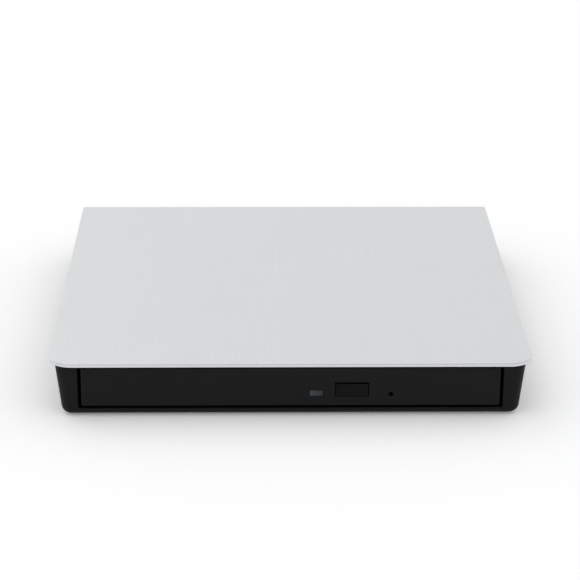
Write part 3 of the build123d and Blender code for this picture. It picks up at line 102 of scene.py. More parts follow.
floor_half = 4.0
floor_corners = [(x * floor_half, y * floor_half, 0) for x, y in ((-1, -1), (1, -1), (1, 1), (-1, 1))]
floor_mesh = bpy.data.meshes.new("studio_floor")
floor_mesh.from_pydata(floor_corners, [], [(0, 1, 2, 3)])
studio_floor = bpy.data.objects.new("studio_floor", floor_mesh)
scene.collection.objects.link(studio_floor)
floor_paper, tree, shader = new_material("floor_paper")
shader.inputs["Base Color"].default_value = (0.93, 0.93, 0.93, 1)
shader.inputs["Roughness"].default_value = 0.9
shader.inputs["Specular IOR Level"].default_value = 0.1
glow = node(tree, "ShaderNodeEmission", Color=(1, 1, 1, 1), Strength=0.14)
glowing = node(tree, "ShaderNodeAddShader")
chain(tree, (shader, 0, glowing, 0), (glow, 0, glowing, 1))
split_by_ray(tree, shader, glowing, tree.nodes["Material Output"])
floor_mesh.materials.append(floor_paper)

surround = bpy.data.worlds.new("surround")
surround.use_nodes = True
tree = surround.node_tree
light = tree.nodes["Background"]
light.inputs["Color"].default_value = (0.985, 0.99, 1.0, 1)
light.inputs["Strength"].default_value = 0.84
white = node(tree, "ShaderNodeBackground", Color=(1, 1, 1, 1), Strength=1.0)
split_by_ray(tree, light, white, tree.nodes["World Output"])
scene.world = surround

for name, place, size, power in (
    ("lamp_back_left", (-1.2, 1.5, 1.3), 2.0, 3.0),
    ("lamp_overhead", (-0.4, -0.3, 2.0), 1.4, 3.5),
):
    lamp = bpy.data.lights.new(name, "AREA")
    lamp.shape = "DISK"
    lamp.size = size
    lamp.energy = power
    lamp_object = bpy.data.objects.new(name, lamp)
    lamp_object.location = place
    lamp_object.rotation_euler = Vector(place).to_track_quat("Z", "Y").to_euler()
    scene.collection.objects.link(lamp_object)

pitch, yaw, roll = math.radians(21.360), math.radians(1.0336), math.radians(0.275)
ahead = Vector((math.sin(yaw) * math.cos(pitch), math.cos(yaw) * math.cos(pitch), -math.sin(pitch)))
level_right = Vector((math.cos(yaw), -math.sin(yaw), 0))
level_up = level_right.cross(ahead)
right = math.cos(roll) * level_right + math.sin(roll) * level_up
up = math.cos(roll) * level_up - math.sin(roll) * level_right
photo_lens = bpy.data.cameras.new("photo_camera")
photo_lens.sensor_width = 36.0
photo_lens.lens = 128.59
photo_lens.clip_start = 0.01
photo_camera = bpy.data.objects.new("photo_camera", photo_lens)
camera_place = Matrix.Translation((-0.01083, -0.64924, 0.26784))
camera_axes = Matrix((right, up, -ahead)).transposed().to_4x4()
photo_camera.matrix_world = camera_place @ camera_axes
scene.collection.objects.link(photo_camera)
scene.camera = photo_camera

# Tub: black moulded ABS, one shell with ribs and bosses inside, spark-eroded satin outside.
# The mould leaves a fine grain all over, soft corners, and slightly polished edges where it is handled.
FLOAT, COLOR, VECTOR = "NodeSocketFloat", "NodeSocketColor", "NodeSocketVector"
# The places of a Mix node's sockets that share their names with others: two colours, their mix, two values
FIRST, SECOND, MIXED, FIRST_VALUE, SECOND_VALUE = 6, 7, 2, 2, 3


def shared_effect(name, *inputs):
    """A node group with inputs (name, type, value), which gives a surface's colour, roughness and normal."""
    made = bpy.data.node_groups.new(name, "ShaderNodeTree")
    for label, kind, value in inputs:
        socket = made.interface.new_socket(name=label, in_out="INPUT", socket_type=kind)
        socket.default_value = value
    for label, kind in (("Color", COLOR), ("Roughness", FLOAT), ("Normal", VECTOR)):
        made.interface.new_socket(name=label, in_out="OUTPUT", socket_type=kind)
    return made, made.nodes.new("NodeGroupInput"), made.nodes.new("NodeGroupOutput")


moulded, given, result = shared_effect(
    "moulded_grain",
    ("Tone", COLOR, (0.01, 0.01, 0.01, 1)),
    ("Rubbed Tone", COLOR, (0.02, 0.02, 0.02, 1)),
    ("Gloss", FLOAT, 0.45),
    ("Grain Per Metre", FLOAT, 3000.0),
    ("Grain Depth", FLOAT, 0.3),
    ("Corner", FLOAT, 0.00015),
)
place = node(moulded, "ShaderNodeTexCoord")
grain = node(moulded, "ShaderNodeTexNoise", Detail=3.0, Roughness=0.6)
clouds = node(moulded, "ShaderNodeTexNoise", Scale=55.0, Detail=4.0, Roughness=0.55)
corner = node(moulded, "ShaderNodeBevel", {"samples": 4})
ground = node(moulded, "ShaderNodeNewGeometry")
facing = node(moulded, "ShaderNodeVectorMath", {"operation": "DOT_PRODUCT"})
rubbed = node(moulded, "ShaderNodeMapRange", From_Min=0.995, From_Max=0.90, To_Min=0.0, To_Max=0.7)
tint = node(moulded, "ShaderNodeMix", {"data_type": "RGBA"})
shade = node(moulded, "ShaderNodeMapRange", From_Min=0.3, From_Max=0.7, To_Min=0.9, To_Max=1.12)
shaded = node(moulded, "ShaderNodeVectorMath", {"operation": "SCALE"})
patch = node(moulded, "ShaderNodeMapRange", From_Min=0.3, From_Max=0.7, To_Min=-0.04, To_Max=0.05)
gloss = node(moulded, "ShaderNodeMath", {"operation": "ADD"})
relief = node(moulded, "ShaderNodeBump", Distance=0.00004)
chain(
    moulded,
    (place, "Object", grain, "Vector"),
    (place, "Object", clouds, "Vector"),
    (given, "Grain Per Metre", grain, "Scale"),
    (given, "Corner", corner, "Radius"),
    (corner, "Normal", facing, 0),
    (ground, "Normal", facing, 1),
    (facing, "Value", rubbed, "Value"),
    (rubbed, "Result", tint, "Factor"),
    (given, "Tone", tint, FIRST),
    (given, "Rubbed Tone", tint, SECOND),
    (grain, "Fac", shade, "Value"),
    (tint, MIXED, shaded, 0),
    (shade, "Result", shaded, "Scale"),
    (shaded, "Vector", result, "Color"),
    (clouds, "Fac", patch, "Value"),
    (patch, "Result", gloss, 0),
    (given, "Gloss", gloss, 1),
    (gloss, "Value", result, "Roughness"),
    (grain, "Fac", relief, "Height"),
    (given, "Grain Depth", relief, "Strength"),
    (corner, "Normal", relief, "Normal"),
    (relief, "Normal", result, "Normal"),
)


def dress(material, *names):
    """Gives CAD nodes a finish in place of the plain one that they came with."""
    for name in names:
        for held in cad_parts[name].material_slots:
            held.material = material


def effect_finish(name, effect, **values):
    """A material that takes its colour, roughness and normal from a shared effect, and its shader."""
    made, tree, shader = new_material(name)
    placed = node(tree, "ShaderNodeGroup", {"node_tree": effect}, **values)
    chain(
        tree,
        (placed, "Color", shader, "Base Color"),
        (placed, "Roughness", shader, "Roughness"),
        (placed, "Normal", shader, "Normal"),
    )
    return made, shader


def moulded_finish(name, tone, rubbed_tone, gloss, grain, depth, corner, specular):
    """A plastic or rubber finish made with the moulded grain; the grain and the corner are in millimetres."""
    made, shader = effect_finish(
        name,
        moulded,
        Tone=(*tone, 1),
        Rubbed_Tone=(*rubbed_tone, 1),
        Gloss=gloss,
        Grain_Per_Metre=1 / (grain * MM),
        Grain_Depth=depth,
        Corner=corner * MM,
    )
    shader.inputs["Specular IOR Level"].default_value = specular
    return made


tub_plastic = moulded_finish(
    "tub_plastic", (0.004, 0.004, 0.0042), (0.009, 0.009, 0.0093),
    gloss=0.5, grain=0.3, depth=0.9, corner=0.3, specular=0.14,
)
dress(tub_plastic, "base_tub")

# Feet: four soft black rubber pads pressed into the tub's recesses, over the screw heads.
# They are punched from sheet, so their edges are a little rounded and their faces dull.
foot_rubber = moulded_finish(
    "foot_rubber", (0.028, 0.028, 0.029), (0.045, 0.045, 0.045),
    gloss=0.8, grain=0.2, depth=0.5, corner=0.2, specular=0.2,
)
dress(foot_rubber, "rubber_feet")

# Slim drive's pan and cover: folded zinc-plated sheet, dull grey with faint rolling lines and cloudy patches.
# The pan is open at the front, and the cover's short flanges stand on its walls.
rolled, given, result = shared_effect(
    "rolled_metal",
    ("Tone", COLOR, (0.5, 0.5, 0.5, 1)),
    ("Dull Tone", COLOR, (0.35, 0.35, 0.35, 1)),
    ("Gloss", FLOAT, 0.4),
    ("Line Stretch", VECTOR, (60.0, 9000.0, 9000.0)),
    ("Line Depth", FLOAT, 0.2),
    ("Contrast", FLOAT, 0.06),
    ("Corner", FLOAT, 0.0001),
)
place = node(rolled, "ShaderNodeTexCoord")
stretch = node(rolled, "ShaderNodeVectorMath", {"operation": "MULTIPLY"})
lines = node(rolled, "ShaderNodeTexNoise", Scale=1.0, Detail=3.0, Roughness=0.65)
clouds = node(rolled, "ShaderNodeTexNoise", Scale=70.0, Detail=5.0, Roughness=0.6)
corner = node(rolled, "ShaderNodeBevel", {"samples": 4})
mottle = node(rolled, "ShaderNodeMapRange", From_Min=0.35, From_Max=0.7, To_Min=0.0, To_Max=1.0)
tint = node(rolled, "ShaderNodeMix", {"data_type": "RGBA"})
swing = node(rolled, "ShaderNodeMapRange", From_Min=0.25, From_Max=0.75, To_Min=-1.0, To_Max=1.0)
shade = node(rolled, "ShaderNodeMath", {"operation": "MULTIPLY_ADD"})
shade.inputs[2].default_value = 1.0
shaded = node(rolled, "ShaderNodeVectorMath", {"operation": "SCALE"})
gloss = node(rolled, "ShaderNodeMath", {"operation": "MULTIPLY_ADD"})
relief = node(rolled, "ShaderNodeBump", Distance=0.00001)
chain(
    rolled,
    (place, "Object", stretch, 0),
    (given, "Line Stretch", stretch, 1),
    (stretch, "Vector", lines, "Vector"),
    (place, "Object", clouds, "Vector"),
    (clouds, "Fac", mottle, "Value"),
    (mottle, "Result", tint, "Factor"),
    (given, "Tone", tint, FIRST),
    (given, "Dull Tone", tint, SECOND),
    (lines, "Fac", swing, "Value"),
    (swing, "Result", shade, 0),
    (given, "Contrast", shade, 1),
    (tint, MIXED, shaded, 0),
    (shade, "Value", shaded, "Scale"),
    (shaded, "Vector", result, "Color"),
    (swing, "Result", gloss, 0),
    (given, "Contrast", gloss, 1),
    (given, "Gloss", gloss, 2),
    (gloss, "Value", result, "Roughness"),
    (given, "Corner", corner, "Radius"),
    (lines, "Fac", relief, "Height"),
    (given, "Line Depth", relief, "Strength"),
    (corner, "Normal", relief, "Normal"),
    (relief, "Normal", result, "Normal"),
)


def metal_finish(name, tone, dull_tone, gloss, lines, depth, contrast, corner):
    """A metal finish made with the rolled metal effect; the corner is in millimetres."""
    made, shader = effect_finish(
        name,
        rolled,
        Tone=(*tone, 1),
        Dull_Tone=(*dull_tone, 1),
        Gloss=gloss,
        Line_Stretch=lines,
        Line_Depth=depth,
        Contrast=contrast,
        Corner=corner * MM,
    )
    shader.inputs["Metallic"].default_value = 1.0
    return made


# How a metal's lines run, as cells per metre along x, y and z: few along the lines and many across them
ALONG_X, ALONG_Y, EVEN = (60.0, 9000.0, 9000.0), (9000.0, 60.0, 9000.0), (2500.0, 2500.0, 2500.0)
zinc_sheet = metal_finish(
    "zinc_sheet", (0.56, 0.57, 0.58), (0.42, 0.43, 0.45),
    gloss=0.42, lines=ALONG_X, depth=0.25, contrast=0.05, corner=0.15,
)
dress(zinc_sheet, "drive_case", "drive_cover")

# Screws: nickel-plated steel, four under the feet, two on the bridge board and five in the tray.
# They are turned and plated, so their finish has no lines along any one way.
screw_nickel = metal_finish(
    "screw_nickel", (0.50, 0.49, 0.47), (0.38, 0.37, 0.36),
    gloss=0.3, lines=EVEN, depth=0.1, contrast=0.02, corner=0.08,
)
dress(screw_nickel, "case_screws", "bridge_screws", "tray_screws")

# Guide channels, telescopic rails and lock post: cold-rolled strip, folded to C-sections and left bright,
# with a wiped film of grease that dulls them in patches.
bright_strip = metal_finish(
    "bright_strip", (0.56, 0.56, 0.56), (0.43, 0.43, 0.42),
    gloss=0.3, lines=ALONG_Y, depth=0.25, contrast=0.04, corner=0.1,
)
dress(bright_strip, "left_guide_channel", "right_guide_channel", "left_rail", "right_rail", "lock_post")

# Drive board and bridge board: glass laminate under green solder mask, with copper tracks and tinned vias.
# The tracks turn from one way to the other in blocks, as a router lays them.
green_board, tree, shader = new_material("green_board")
shader.inputs["Specular IOR Level"].default_value = 0.5
place = node(tree, "ShaderNodeTexCoord")
blocks_of_tracks = node(tree, "ShaderNodeTexVoronoi", {"distance": "CHEBYCHEV"}, Scale=210.0)
which_way = node(tree, "ShaderNodeSeparateColor")
one_way = node(tree, "ShaderNodeTexWave", {"bands_direction": "X"}, Scale=420.0)
other_way = node(tree, "ShaderNodeTexWave", {"bands_direction": "Y"}, Scale=420.0)
turned = node(tree, "ShaderNodeMath", {"operation": "GREATER_THAN"})
turned.inputs[1].default_value = 0.5
chosen = node(tree, "ShaderNodeMix")
track = node(tree, "ShaderNodeMapRange", From_Min=0.55, From_Max=0.7)
mask_tone = node(tree, "ShaderNodeMix", {"data_type": "RGBA"})
mask_tone.inputs[FIRST].default_value = (0.006, 0.075, 0.028, 1)
mask_tone.inputs[SECOND].default_value = (0.016, 0.16, 0.06, 1)
vias = node(tree, "ShaderNodeTexVoronoi", Scale=430.0)
tinned = node(tree, "ShaderNodeMapRange", From_Min=0.11, From_Max=0.09)
with_vias = node(tree, "ShaderNodeMix", {"data_type": "RGBA"})
with_vias.inputs[SECOND].default_value = (0.62, 0.6, 0.55, 1)
sheen = node(tree, "ShaderNodeMapRange", To_Min=0.32, To_Max=0.2)
step = node(tree, "ShaderNodeBump", Distance=0.00002, Strength=0.5)
chain(
    tree,
    (place, "Object", blocks_of_tracks, "Vector"),
    (place, "Object", one_way, "Vector"),
    (place, "Object", other_way, "Vector"),
    (place, "Object", vias, "Vector"),
    (blocks_of_tracks, "Color", which_way, "Color"),
    (which_way, "Red", turned, 0),
    (turned, "Value", chosen, "Factor"),
    (one_way, "Fac", chosen, FIRST_VALUE),
    (other_way, "Fac", chosen, SECOND_VALUE),
    (chosen, "Result", track, "Value"),
    (track, "Result", mask_tone, "Factor"),
    (vias, "Distance", tinned, "Value"),
    (tinned, "Result", with_vias, "Factor"),
    (mask_tone, MIXED, with_vias, FIRST),
    (with_vias, MIXED, shader, "Base Color"),
    (tinned, "Result", shader, "Metallic"),
    (tinned, "Result", sheen, "Value"),
    (sheen, "Result", shader, "Roughness"),
    (track, "Result", step, "Height"),
    (step, "Normal", shader, "Normal"),
)
dress(green_board, "drive_board", "bridge_board", "control_board")
chip_epoxy = moulded_finish(
    "chip_epoxy", (0.012, 0.012, 0.0125), (0.02, 0.02, 0.02),
    gloss=0.5, grain=0.12, depth=0.4, corner=0.1, specular=0.3,
)
dress(chip_epoxy, "drive_chips", "bridge_chips")
insulating_film = moulded_finish(
    "insulating_film", (0.01, 0.01, 0.01), (0.015, 0.015, 0.015),
    gloss=0.35, grain=1.0, depth=0.1, corner=0.05, specular=0.4,
)
dress(insulating_film, "board_insulator")


def piece(name, points, faces, finish, body, sharp=35.0):
    """A mesh piece that rides on a body: smooth, but with the edges sharp that turn by more than an angle."""
    mesh = bpy.data.meshes.new(name)
    mesh.from_pydata(points.tolist(), [], faces)
    mesh.materials.append(finish)
    mesh.shade_smooth()
    mesh.set_sharp_from_angle(angle=math.radians(sharp))
    made = bpy.data.objects.new(name, mesh)
    scene.collection.objects.link(made)
    if body:
        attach(made, body)
    return made


def small_blocks(places, sizes, chamfer):
    """Points and faces of many small blocks, given by the middles of their feet and their size or sizes.

    Each block is three rings of four corners: the foot, the shoulder a chamfer below the top, and the top,
    which is drawn in by the chamfer.
    """
    sizes = np.broadcast_to(np.asarray(sizes, float), places.shape)
    corners = np.array([(-0.5, -0.5), (0.5, -0.5), (0.5, 0.5), (-0.5, 0.5)])
    full = corners[None] * sizes[:, None, :2]
    drawn = full - np.sign(corners)[None] * chamfer
    heights = np.stack([np.zeros(len(sizes)), sizes[:, 2] - chamfer, sizes[:, 2]], axis=1)
    flat = np.stack([full, full, drawn], axis=1)
    rings = np.concatenate([flat, np.broadcast_to(heights[:, :, None, None], (*flat.shape[:3], 1))], axis=3)
    points = (rings + places[:, None, None, :]).reshape(-1, 3)
    around, after = np.arange(4), (np.arange(4) + 1) % 4
    sides = np.stack([around, after, 4 + after, 4 + around], axis=1)
    # A block's two rows of sides, its underside and its top
    block_faces = np.concatenate([sides, sides + 4, [[3, 2, 1, 0]], [[8, 9, 10, 11]]])
    block_starts = len(points) // len(sizes) * np.arange(len(sizes))
    return points, (block_faces[None] + block_starts[:, None, None]).reshape(-1, 4).tolist()


# Small parts on the boards: tinned chip legs, and the ceramic chips that fill the free places in short rows.
# They are placed by machine, all turned one way or square to it, and soldered.
board_low, board_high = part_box("drive_board")
# The chips with legs: each one's middle, x and y, then its width and its depth, in millimetres
chips = (
    (4.0, 36.0, 14.0, 14.0),
    (-12.0, 33.0, 8.0, 5.5),
    (22.0, 47.0, 9.0, 9.0),
    (-30.0, 40.0, 6.5, 6.5),
)
leg_pitch, leg_width, leg_length, leg_height = 0.8 * MM, 0.35 * MM, 1.0 * MM, 0.25 * MM
bare_corner = 0.8 * MM
leg_places, leg_sizes = [], []
for chip_x, chip_y, chip_width, chip_depth in np.array(chips) * MM:
    for along_y, chip_edge, chip_span in ((False, chip_width, chip_depth), (True, chip_depth, chip_width)):
        count = int((chip_edge - 2 * bare_corner) / leg_pitch) + 1
        steps = (np.arange(count) - (count - 1) / 2) * leg_pitch
        size = (leg_length, leg_width, leg_height) if along_y else (leg_width, leg_length, leg_height)
        for side in (-1, 1):
            reach = np.full(count, side * (chip_span / 2 + leg_length / 2))
            off_x, off_y = (reach, steps) if along_y else (steps, reach)
            level = np.full(count, board_high[2])
            leg_places.append(np.column_stack([chip_x + off_x, chip_y + off_y, level]))
            leg_sizes.append(np.tile(size, (count, 1)))
solder_tin = metal_finish(
    "solder_tin", (0.60, 0.59, 0.57), (0.50, 0.49, 0.47),
    gloss=0.28, lines=EVEN, depth=0.1, contrast=0.02, corner=0.05,
)
points, faces = small_blocks(np.concatenate(leg_places), np.concatenate(leg_sizes), chamfer=0.06 * MM)
piece("chip_legs", points, faces, solder_tin, "enclosure")

rng = np.random.default_rng(7)
ceramic = moulded_finish(
    "ceramic", (0.20, 0.14, 0.09), (0.26, 0.19, 0.13),
    gloss=0.55, grain=0.2, depth=0.2, corner=0.05, specular=0.4,
)
# What else stands on the board: three small chips, the flat cable's connector and the plug
others = (
    (17.0, 30.0, 3.0, 3.0),
    (36.0, 46.0, 5.0, 4.0),
    (-34.0, 29.0, 3.0, 3.0),
    (36.0, 24.0, 15.0, 4.0),
    (-16.0, 55.0, 30.0, 6.0),
)
taken = np.array(chips + others) * MM
board_edge, row_pitch, clearance, row_gap = 2.0 * MM, 1.5 * MM, 2.2 * MM, 1.3 * MM
ceramic_size = (0.55 * MM, 0.8 * MM, 0.4 * MM)


def chip_rows(tries):
    """Places of small ceramic chips on the drive board, in rows of three.

    Each try draws the start of a row inside the board's edge, and then one of two directions. The row is kept
    where it is inside, clear of each taken place along x or along y, and a gap away from the rows before it.
    """
    low, high = np.array(board_low[:2]) + board_edge, np.array(board_high[:2]) - board_edge
    found = []
    for _ in range(tries):
        start = rng.uniform(low, high)
        step = np.array([row_pitch, 0.0] if rng.random() < 0.5 else [0.0, row_pitch])
        row = start + np.arange(3)[:, None] * step
        away = np.abs(row[:, None] - taken[None, :, :2]) > taken[None, :, 2:] / 2 + clearance
        inside = np.all((row >= low) & (row <= high))
        apart = all(np.min(np.linalg.norm(row[:, None] - other[None], axis=2)) > row_gap for other in found)
        if np.all(away.any(axis=2)) and inside and apart:
            found.append(row)
    return np.column_stack([np.concatenate(found), np.full(3 * len(found), board_high[2])])


points, faces = small_blocks(chip_rows(tries=160), ceramic_size, chamfer=0.04 * MM)
piece("board_capacitors", points, faces, ceramic, "enclosure")

# Connectors: black and ivory nylon mouldings, snapped or soldered to the boards.
# The plug's shroud stands in the pan's rear window and takes the bridge board's nose.
nylon_black = moulded_finish(
    "nylon_black", (0.014, 0.014, 0.0145), (0.024, 0.024, 0.024),
    gloss=0.42, grain=0.3, depth=0.2, corner=0.1, specular=0.3,
)
nylon_ivory = moulded_finish(
    "nylon_ivory", (0.62, 0.58, 0.47), (0.68, 0.64, 0.54),
    gloss=0.42, grain=0.3, depth=0.2, corner=0.08, specular=0.4,
)
dress(nylon_black, "drive_plug", "bridge_receptacle")
dress(nylon_ivory, "flex_connector")

# Cable socket at the back: a folded tin-plated shell round a black tongue with gold contacts.
# The contacts are stamped strips let into the tongue, five on its wide part and four on its narrow one.
tin_shell = metal_finish(
    "tin_shell", (0.58, 0.58, 0.57), (0.50, 0.50, 0.49),
    gloss=0.26, lines=ALONG_Y, depth=0.05, contrast=0.02, corner=0.1,
)
dress(tin_shell, "usb_socket")
dress(nylon_black, "socket_tongue")
socket_low, socket_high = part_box("usb_socket")
contact_size, contact_back, contact_rise = (0.32 * MM, 3.6 * MM, 0.06 * MM), 3.2 * MM, 0.33 * MM
offsets = np.concatenate([np.linspace(-4.6, -0.3, 5), np.linspace(2.0, 4.1, 4)]) * MM
contact_places = np.column_stack(
    [
        (socket_low[0] + socket_high[0]) / 2 + offsets,
        np.full_like(offsets, socket_high[1] - contact_back),
        np.full_like(offsets, (socket_low[2] + socket_high[2]) / 2 + contact_rise),
    ]
)
gold_plate = metal_finish(
    "gold_plate", (0.72, 0.52, 0.20), (0.64, 0.45, 0.17),
    gloss=0.22, lines=ALONG_Y, depth=0.05, contrast=0.02, corner=0.03,
)
points, faces = small_blocks(contact_places, contact_size, chamfer=0.02 * MM)
piece("socket_contacts", points, faces, gold_plate, "enclosure")

# Tray: black ABS with a coarser spark-eroded grain on its deck than on the bezel, so that it looks duller.
# The dish takes the disc, and its wall and rim are part of the same moulding.
tray_plastic = moulded_finish(
    "tray_plastic", (0.010, 0.010, 0.0105), (0.02, 0.02, 0.0205),
    gloss=0.55, grain=0.35, depth=0.6, corner=0.2, specular=0.25,
)
dress(tray_plastic, "tray")

# Traverse: the pressed zinc-plated steel frame of motor and pickup, on three rubber grommets in the tray.
# A thin black dress cover hides it, flush in the dish floor.
dress(zinc_sheet, "traverse_frame")
dress(foot_rubber, "traverse_grommets")
cover_paint = moulded_finish(
    "cover_paint", (0.014, 0.014, 0.0145), (0.05, 0.05, 0.05),
    gloss=0.4, grain=0.15, depth=0.45, corner=0.1, specular=0.3,
)
dress(cover_paint, "traverse_cover")

# Spindle motor: a turned brass bearing, a laminated stator with nine copper coils, and a drawn nickel cup
# that turns round them with a ring magnet glued inside. Turned and stacked metal has level lines.
LEVEL_FINE, LEVEL_COARSE = (2500.0, 2500.0, 9000.0), (300.0, 300.0, 9000.0)
turned_brass = metal_finish(
    "turned_brass", (0.62, 0.44, 0.19), (0.5, 0.35, 0.14),
    gloss=0.3, lines=LEVEL_FINE, depth=0.15, contrast=0.03, corner=0.1,
)
dress(turned_brass, "spindle_bearing")
core_steel = metal_finish(
    "core_steel", (0.30, 0.30, 0.31), (0.22, 0.22, 0.23),
    gloss=0.45, lines=LEVEL_COARSE, depth=0.5, contrast=0.08, corner=0.05,
)
dress(core_steel, "spindle_stator")
drawn_nickel = metal_finish(
    "drawn_nickel", (0.55, 0.535, 0.505), (0.48, 0.465, 0.44),
    gloss=0.3, lines=EVEN, depth=0.02, contrast=0.012, corner=0.2,
)
dress(drawn_nickel, "rotor_cup", "pickup_shield")
magnet_black = moulded_finish(
    "magnet_black", (0.02, 0.02, 0.021), (0.035, 0.035, 0.036),
    gloss=0.55, grain=0.1, depth=0.5, corner=0.1, specular=0.4,
)
dress(magnet_black, "rotor_magnet", "pickup_magnets")
polished_steel = metal_finish(
    "polished_steel", (0.62, 0.62, 0.61), (0.56, 0.56, 0.55),
    gloss=0.14, lines=ALONG_Y, depth=0.03, contrast=0.012, corner=0.08,
)
dress(polished_steel, "spindle_shaft", "push_rod")

copper_wire, tree, shader = new_material("copper_wire")
shader.inputs["Metallic"].default_value = 0.85
shader.inputs["Roughness"].default_value = 0.28
shader.inputs["Coat Weight"].default_value = 0.4
place = node(tree, "ShaderNodeTexCoord")
turns = node(tree, "ShaderNodeTexNoise", Scale=2200.0, Detail=2.0)
copper_tone = node(tree, "ShaderNodeMix", {"data_type": "RGBA"})
copper_tone.inputs[FIRST].default_value = (0.36, 0.12, 0.045, 1)
copper_tone.inputs[SECOND].default_value = (0.52, 0.20, 0.085, 1)
wound = node(tree, "ShaderNodeBump", Distance=0.00003, Strength=0.6)
chain(
    tree,
    (place, "Object", turns, "Vector"),
    (turns, "Fac", copper_tone, "Factor"),
    (copper_tone, MIXED, shader, "Base Color"),
    (turns, "Fac", wound, "Height"),
    (wound, "Normal", shader, "Normal"),
)
dress(copper_wire, "stator_windings")

# Turntable and hub: one glass-filled moulding with three sprung tabs that hold the disc by its hole,
# and a soft ring that the disc lies on.
hub_plastic = moulded_finish(
    "hub_plastic", (0.018, 0.018, 0.0185), (0.05, 0.05, 0.052),
    gloss=0.35, grain=0.25, depth=0.25, corner=0.15, specular=0.35,
)
dress(hub_plastic, "turntable")
tab_plastic = moulded_finish(
    "tab_plastic", (0.10, 0.10, 0.105), (0.16, 0.16, 0.165),
    gloss=0.3, grain=0.3, depth=0.15, corner=0.1, specular=0.4,
)
dress(tab_plastic, "hub_tabs")
pad_rubber = moulded_finish(
    "pad_rubber", (0.03, 0.03, 0.032), (0.04, 0.04, 0.042),
    gloss=0.9, grain=0.1, depth=0.5, corner=0.05, specular=0.1,
)
dress(pad_rubber, "disc_pad")

# Sled drive: two ground guide rods in folded clamps, a small round motor, and a threaded screw as its shaft.
# The thread is one start of 3 mm pitch, rolled, with flat crests.
ground_rod = metal_finish(
    "ground_rod", (0.60, 0.60, 0.59), (0.54, 0.54, 0.53),
    gloss=0.16, lines=LEVEL_FINE, depth=0.03, contrast=0.012, corner=0.08,
)
dress(ground_rod, "guide_rods")
dress(bright_strip, "rod_clamps", "sled_brackets")
dress(drawn_nickel, "sled_motor")


def facing_out(points, quads, triangles):
    """A closed surface's faces as lists, all turned round where the volume inside them comes out negative."""
    halves = np.concatenate([quads[:, [0, 1, 2]], quads[:, [0, 2, 3]], triangles])
    first, second, third = points[halves].swapaxes(0, 1)
    order = 1 if np.einsum("ij,ij->", first, np.cross(second, third)) > 0 else -1
    return quads[:, ::order].tolist() + triangles[:, ::order].tolist()


def closed_surface(rings, looped=False):
    """Points and faces through rings of points, an array (rings, points round, 3).

    Each ring is joined to the next by quads. A loop's last ring is joined to its first, and otherwise each
    end is joined to its own middle by triangles.
    """
    count, around = rings.shape[:2]
    turn, after = np.arange(around), (np.arange(around) + 1) % around
    low = (np.arange(count if looped else count - 1) * around)[:, None]
    high = (low + around) % (count * around)
    quads = np.stack([low + turn, low + after, high + after, high + turn], axis=-1).reshape(-1, 4)
    if looped:
        points = rings.reshape(-1, 3)
        return points, facing_out(points, quads, np.empty((0, 3), int))
    points = np.concatenate([rings.reshape(-1, 3), rings[[0, -1]].mean(axis=1)])
    first = np.stack([np.full(around, count * around), after, turn], axis=-1)
    last = np.stack([np.full(around, count * around + 1), high[-1] + turn, high[-1] + after], axis=-1)
    return points, facing_out(points, quads, np.concatenate([first, last]))


def turned_rings(start, along, distances, radii, around):
    """Rings about an axis: at each distance along it, points at a radius that may change round the ring."""
    along = np.asarray(along, float) / np.linalg.norm(along)
    side = np.cross(along, (0.0, 0.0, 1.0))
    side = side / np.linalg.norm(side)
    high = np.cross(side, along)
    angles = np.linspace(0, 2 * np.pi, around, endpoint=False)
    spokes = np.cos(angles)[:, None] * side + np.sin(angles)[:, None] * high
    radii = np.broadcast_to(np.asarray(radii), (len(distances), around))
    middles = np.asarray(start, float) + np.asarray(distances)[:, None] * along
    return middles[:, None, :] + radii[:, :, None] * spokes[None]


outward, across = np.array(((-1.0, -1.0, 0.0), (1.0, -1.0, 0.0))) * math.sqrt(0.5)
upright = np.array((0.0, 0.0, 1.0))
spindle = np.array((0.0, -6.2 * MM, 0.0))


def at_traverse(reach, side, height):
    """Points given in the traverse's own axes, out from the spindle, across and up, in the drive's axes."""
    reach, side, height = (np.asarray(value, float)[..., None] for value in (reach, side, height))
    return spindle + reach * outward + side * across + height * upright


screw_length, pivot_length, pitch, ring_step, screw_points = 53.1 * MM, 0.6 * MM, 3.0 * MM, 0.06 * MM, 56
crest, root, pivot, end_chamfer = 1.0 * MM, 0.74 * MM, 0.5 * MM, 0.1 * MM
groove_share, flank_share, plain_start, plain_end = 0.26, 0.09, 2.0 * MM, 1.5 * MM


def threaded_shaft():
    """Distances along the lead screw and the radii of the ring at each, one for each point round it.

    The phase is the distance over the pitch less the angle's share of a turn. The radius falls from the crest
    to the root where the phase is near a half, over smooth flanks. The shaft's ends are plain, and its tip is
    chamfered and carries a thin pivot.
    """
    angles = np.linspace(0, 2 * np.pi, screw_points, endpoint=False)
    threaded = np.arange(0, screw_length, ring_step)
    phase = (threaded[:, None] / pitch - angles[None] / (2 * np.pi)) % 1.0
    groove = np.clip((groove_share / 2 + flank_share / 2 - np.abs(phase - 0.5)) / flank_share, 0, 1)
    groove = groove * groove * (3 - 2 * groove)
    plain = (threaded[:, None] < plain_start) | (threaded[:, None] > screw_length - plain_end)
    radii = np.where(plain, crest, crest - (crest - root) * groove)
    tip = screw_length + pivot_length
    end_radii = np.array([crest, crest - end_chamfer, pivot, pivot, pivot - end_chamfer])
    ends = [screw_length - end_chamfer, screw_length, screw_length, tip - end_chamfer, tip]
    end_rings = np.broadcast_to(end_radii[:, None], (len(ends), screw_points))
    return np.concatenate([threaded, ends]), np.concatenate([radii, end_rings])


distances, radii = threaded_shaft()
screw_start = at_traverse(reach=3.35 * MM, side=22.3 * MM, height=8.4 * MM)
points, faces = closed_surface(turned_rings(screw_start, outward, distances, radii, screw_points))
thread = piece("screw_thread", points, faces, polished_steel, "lead_screw", sharp=75.0)
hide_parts("lead_screw")

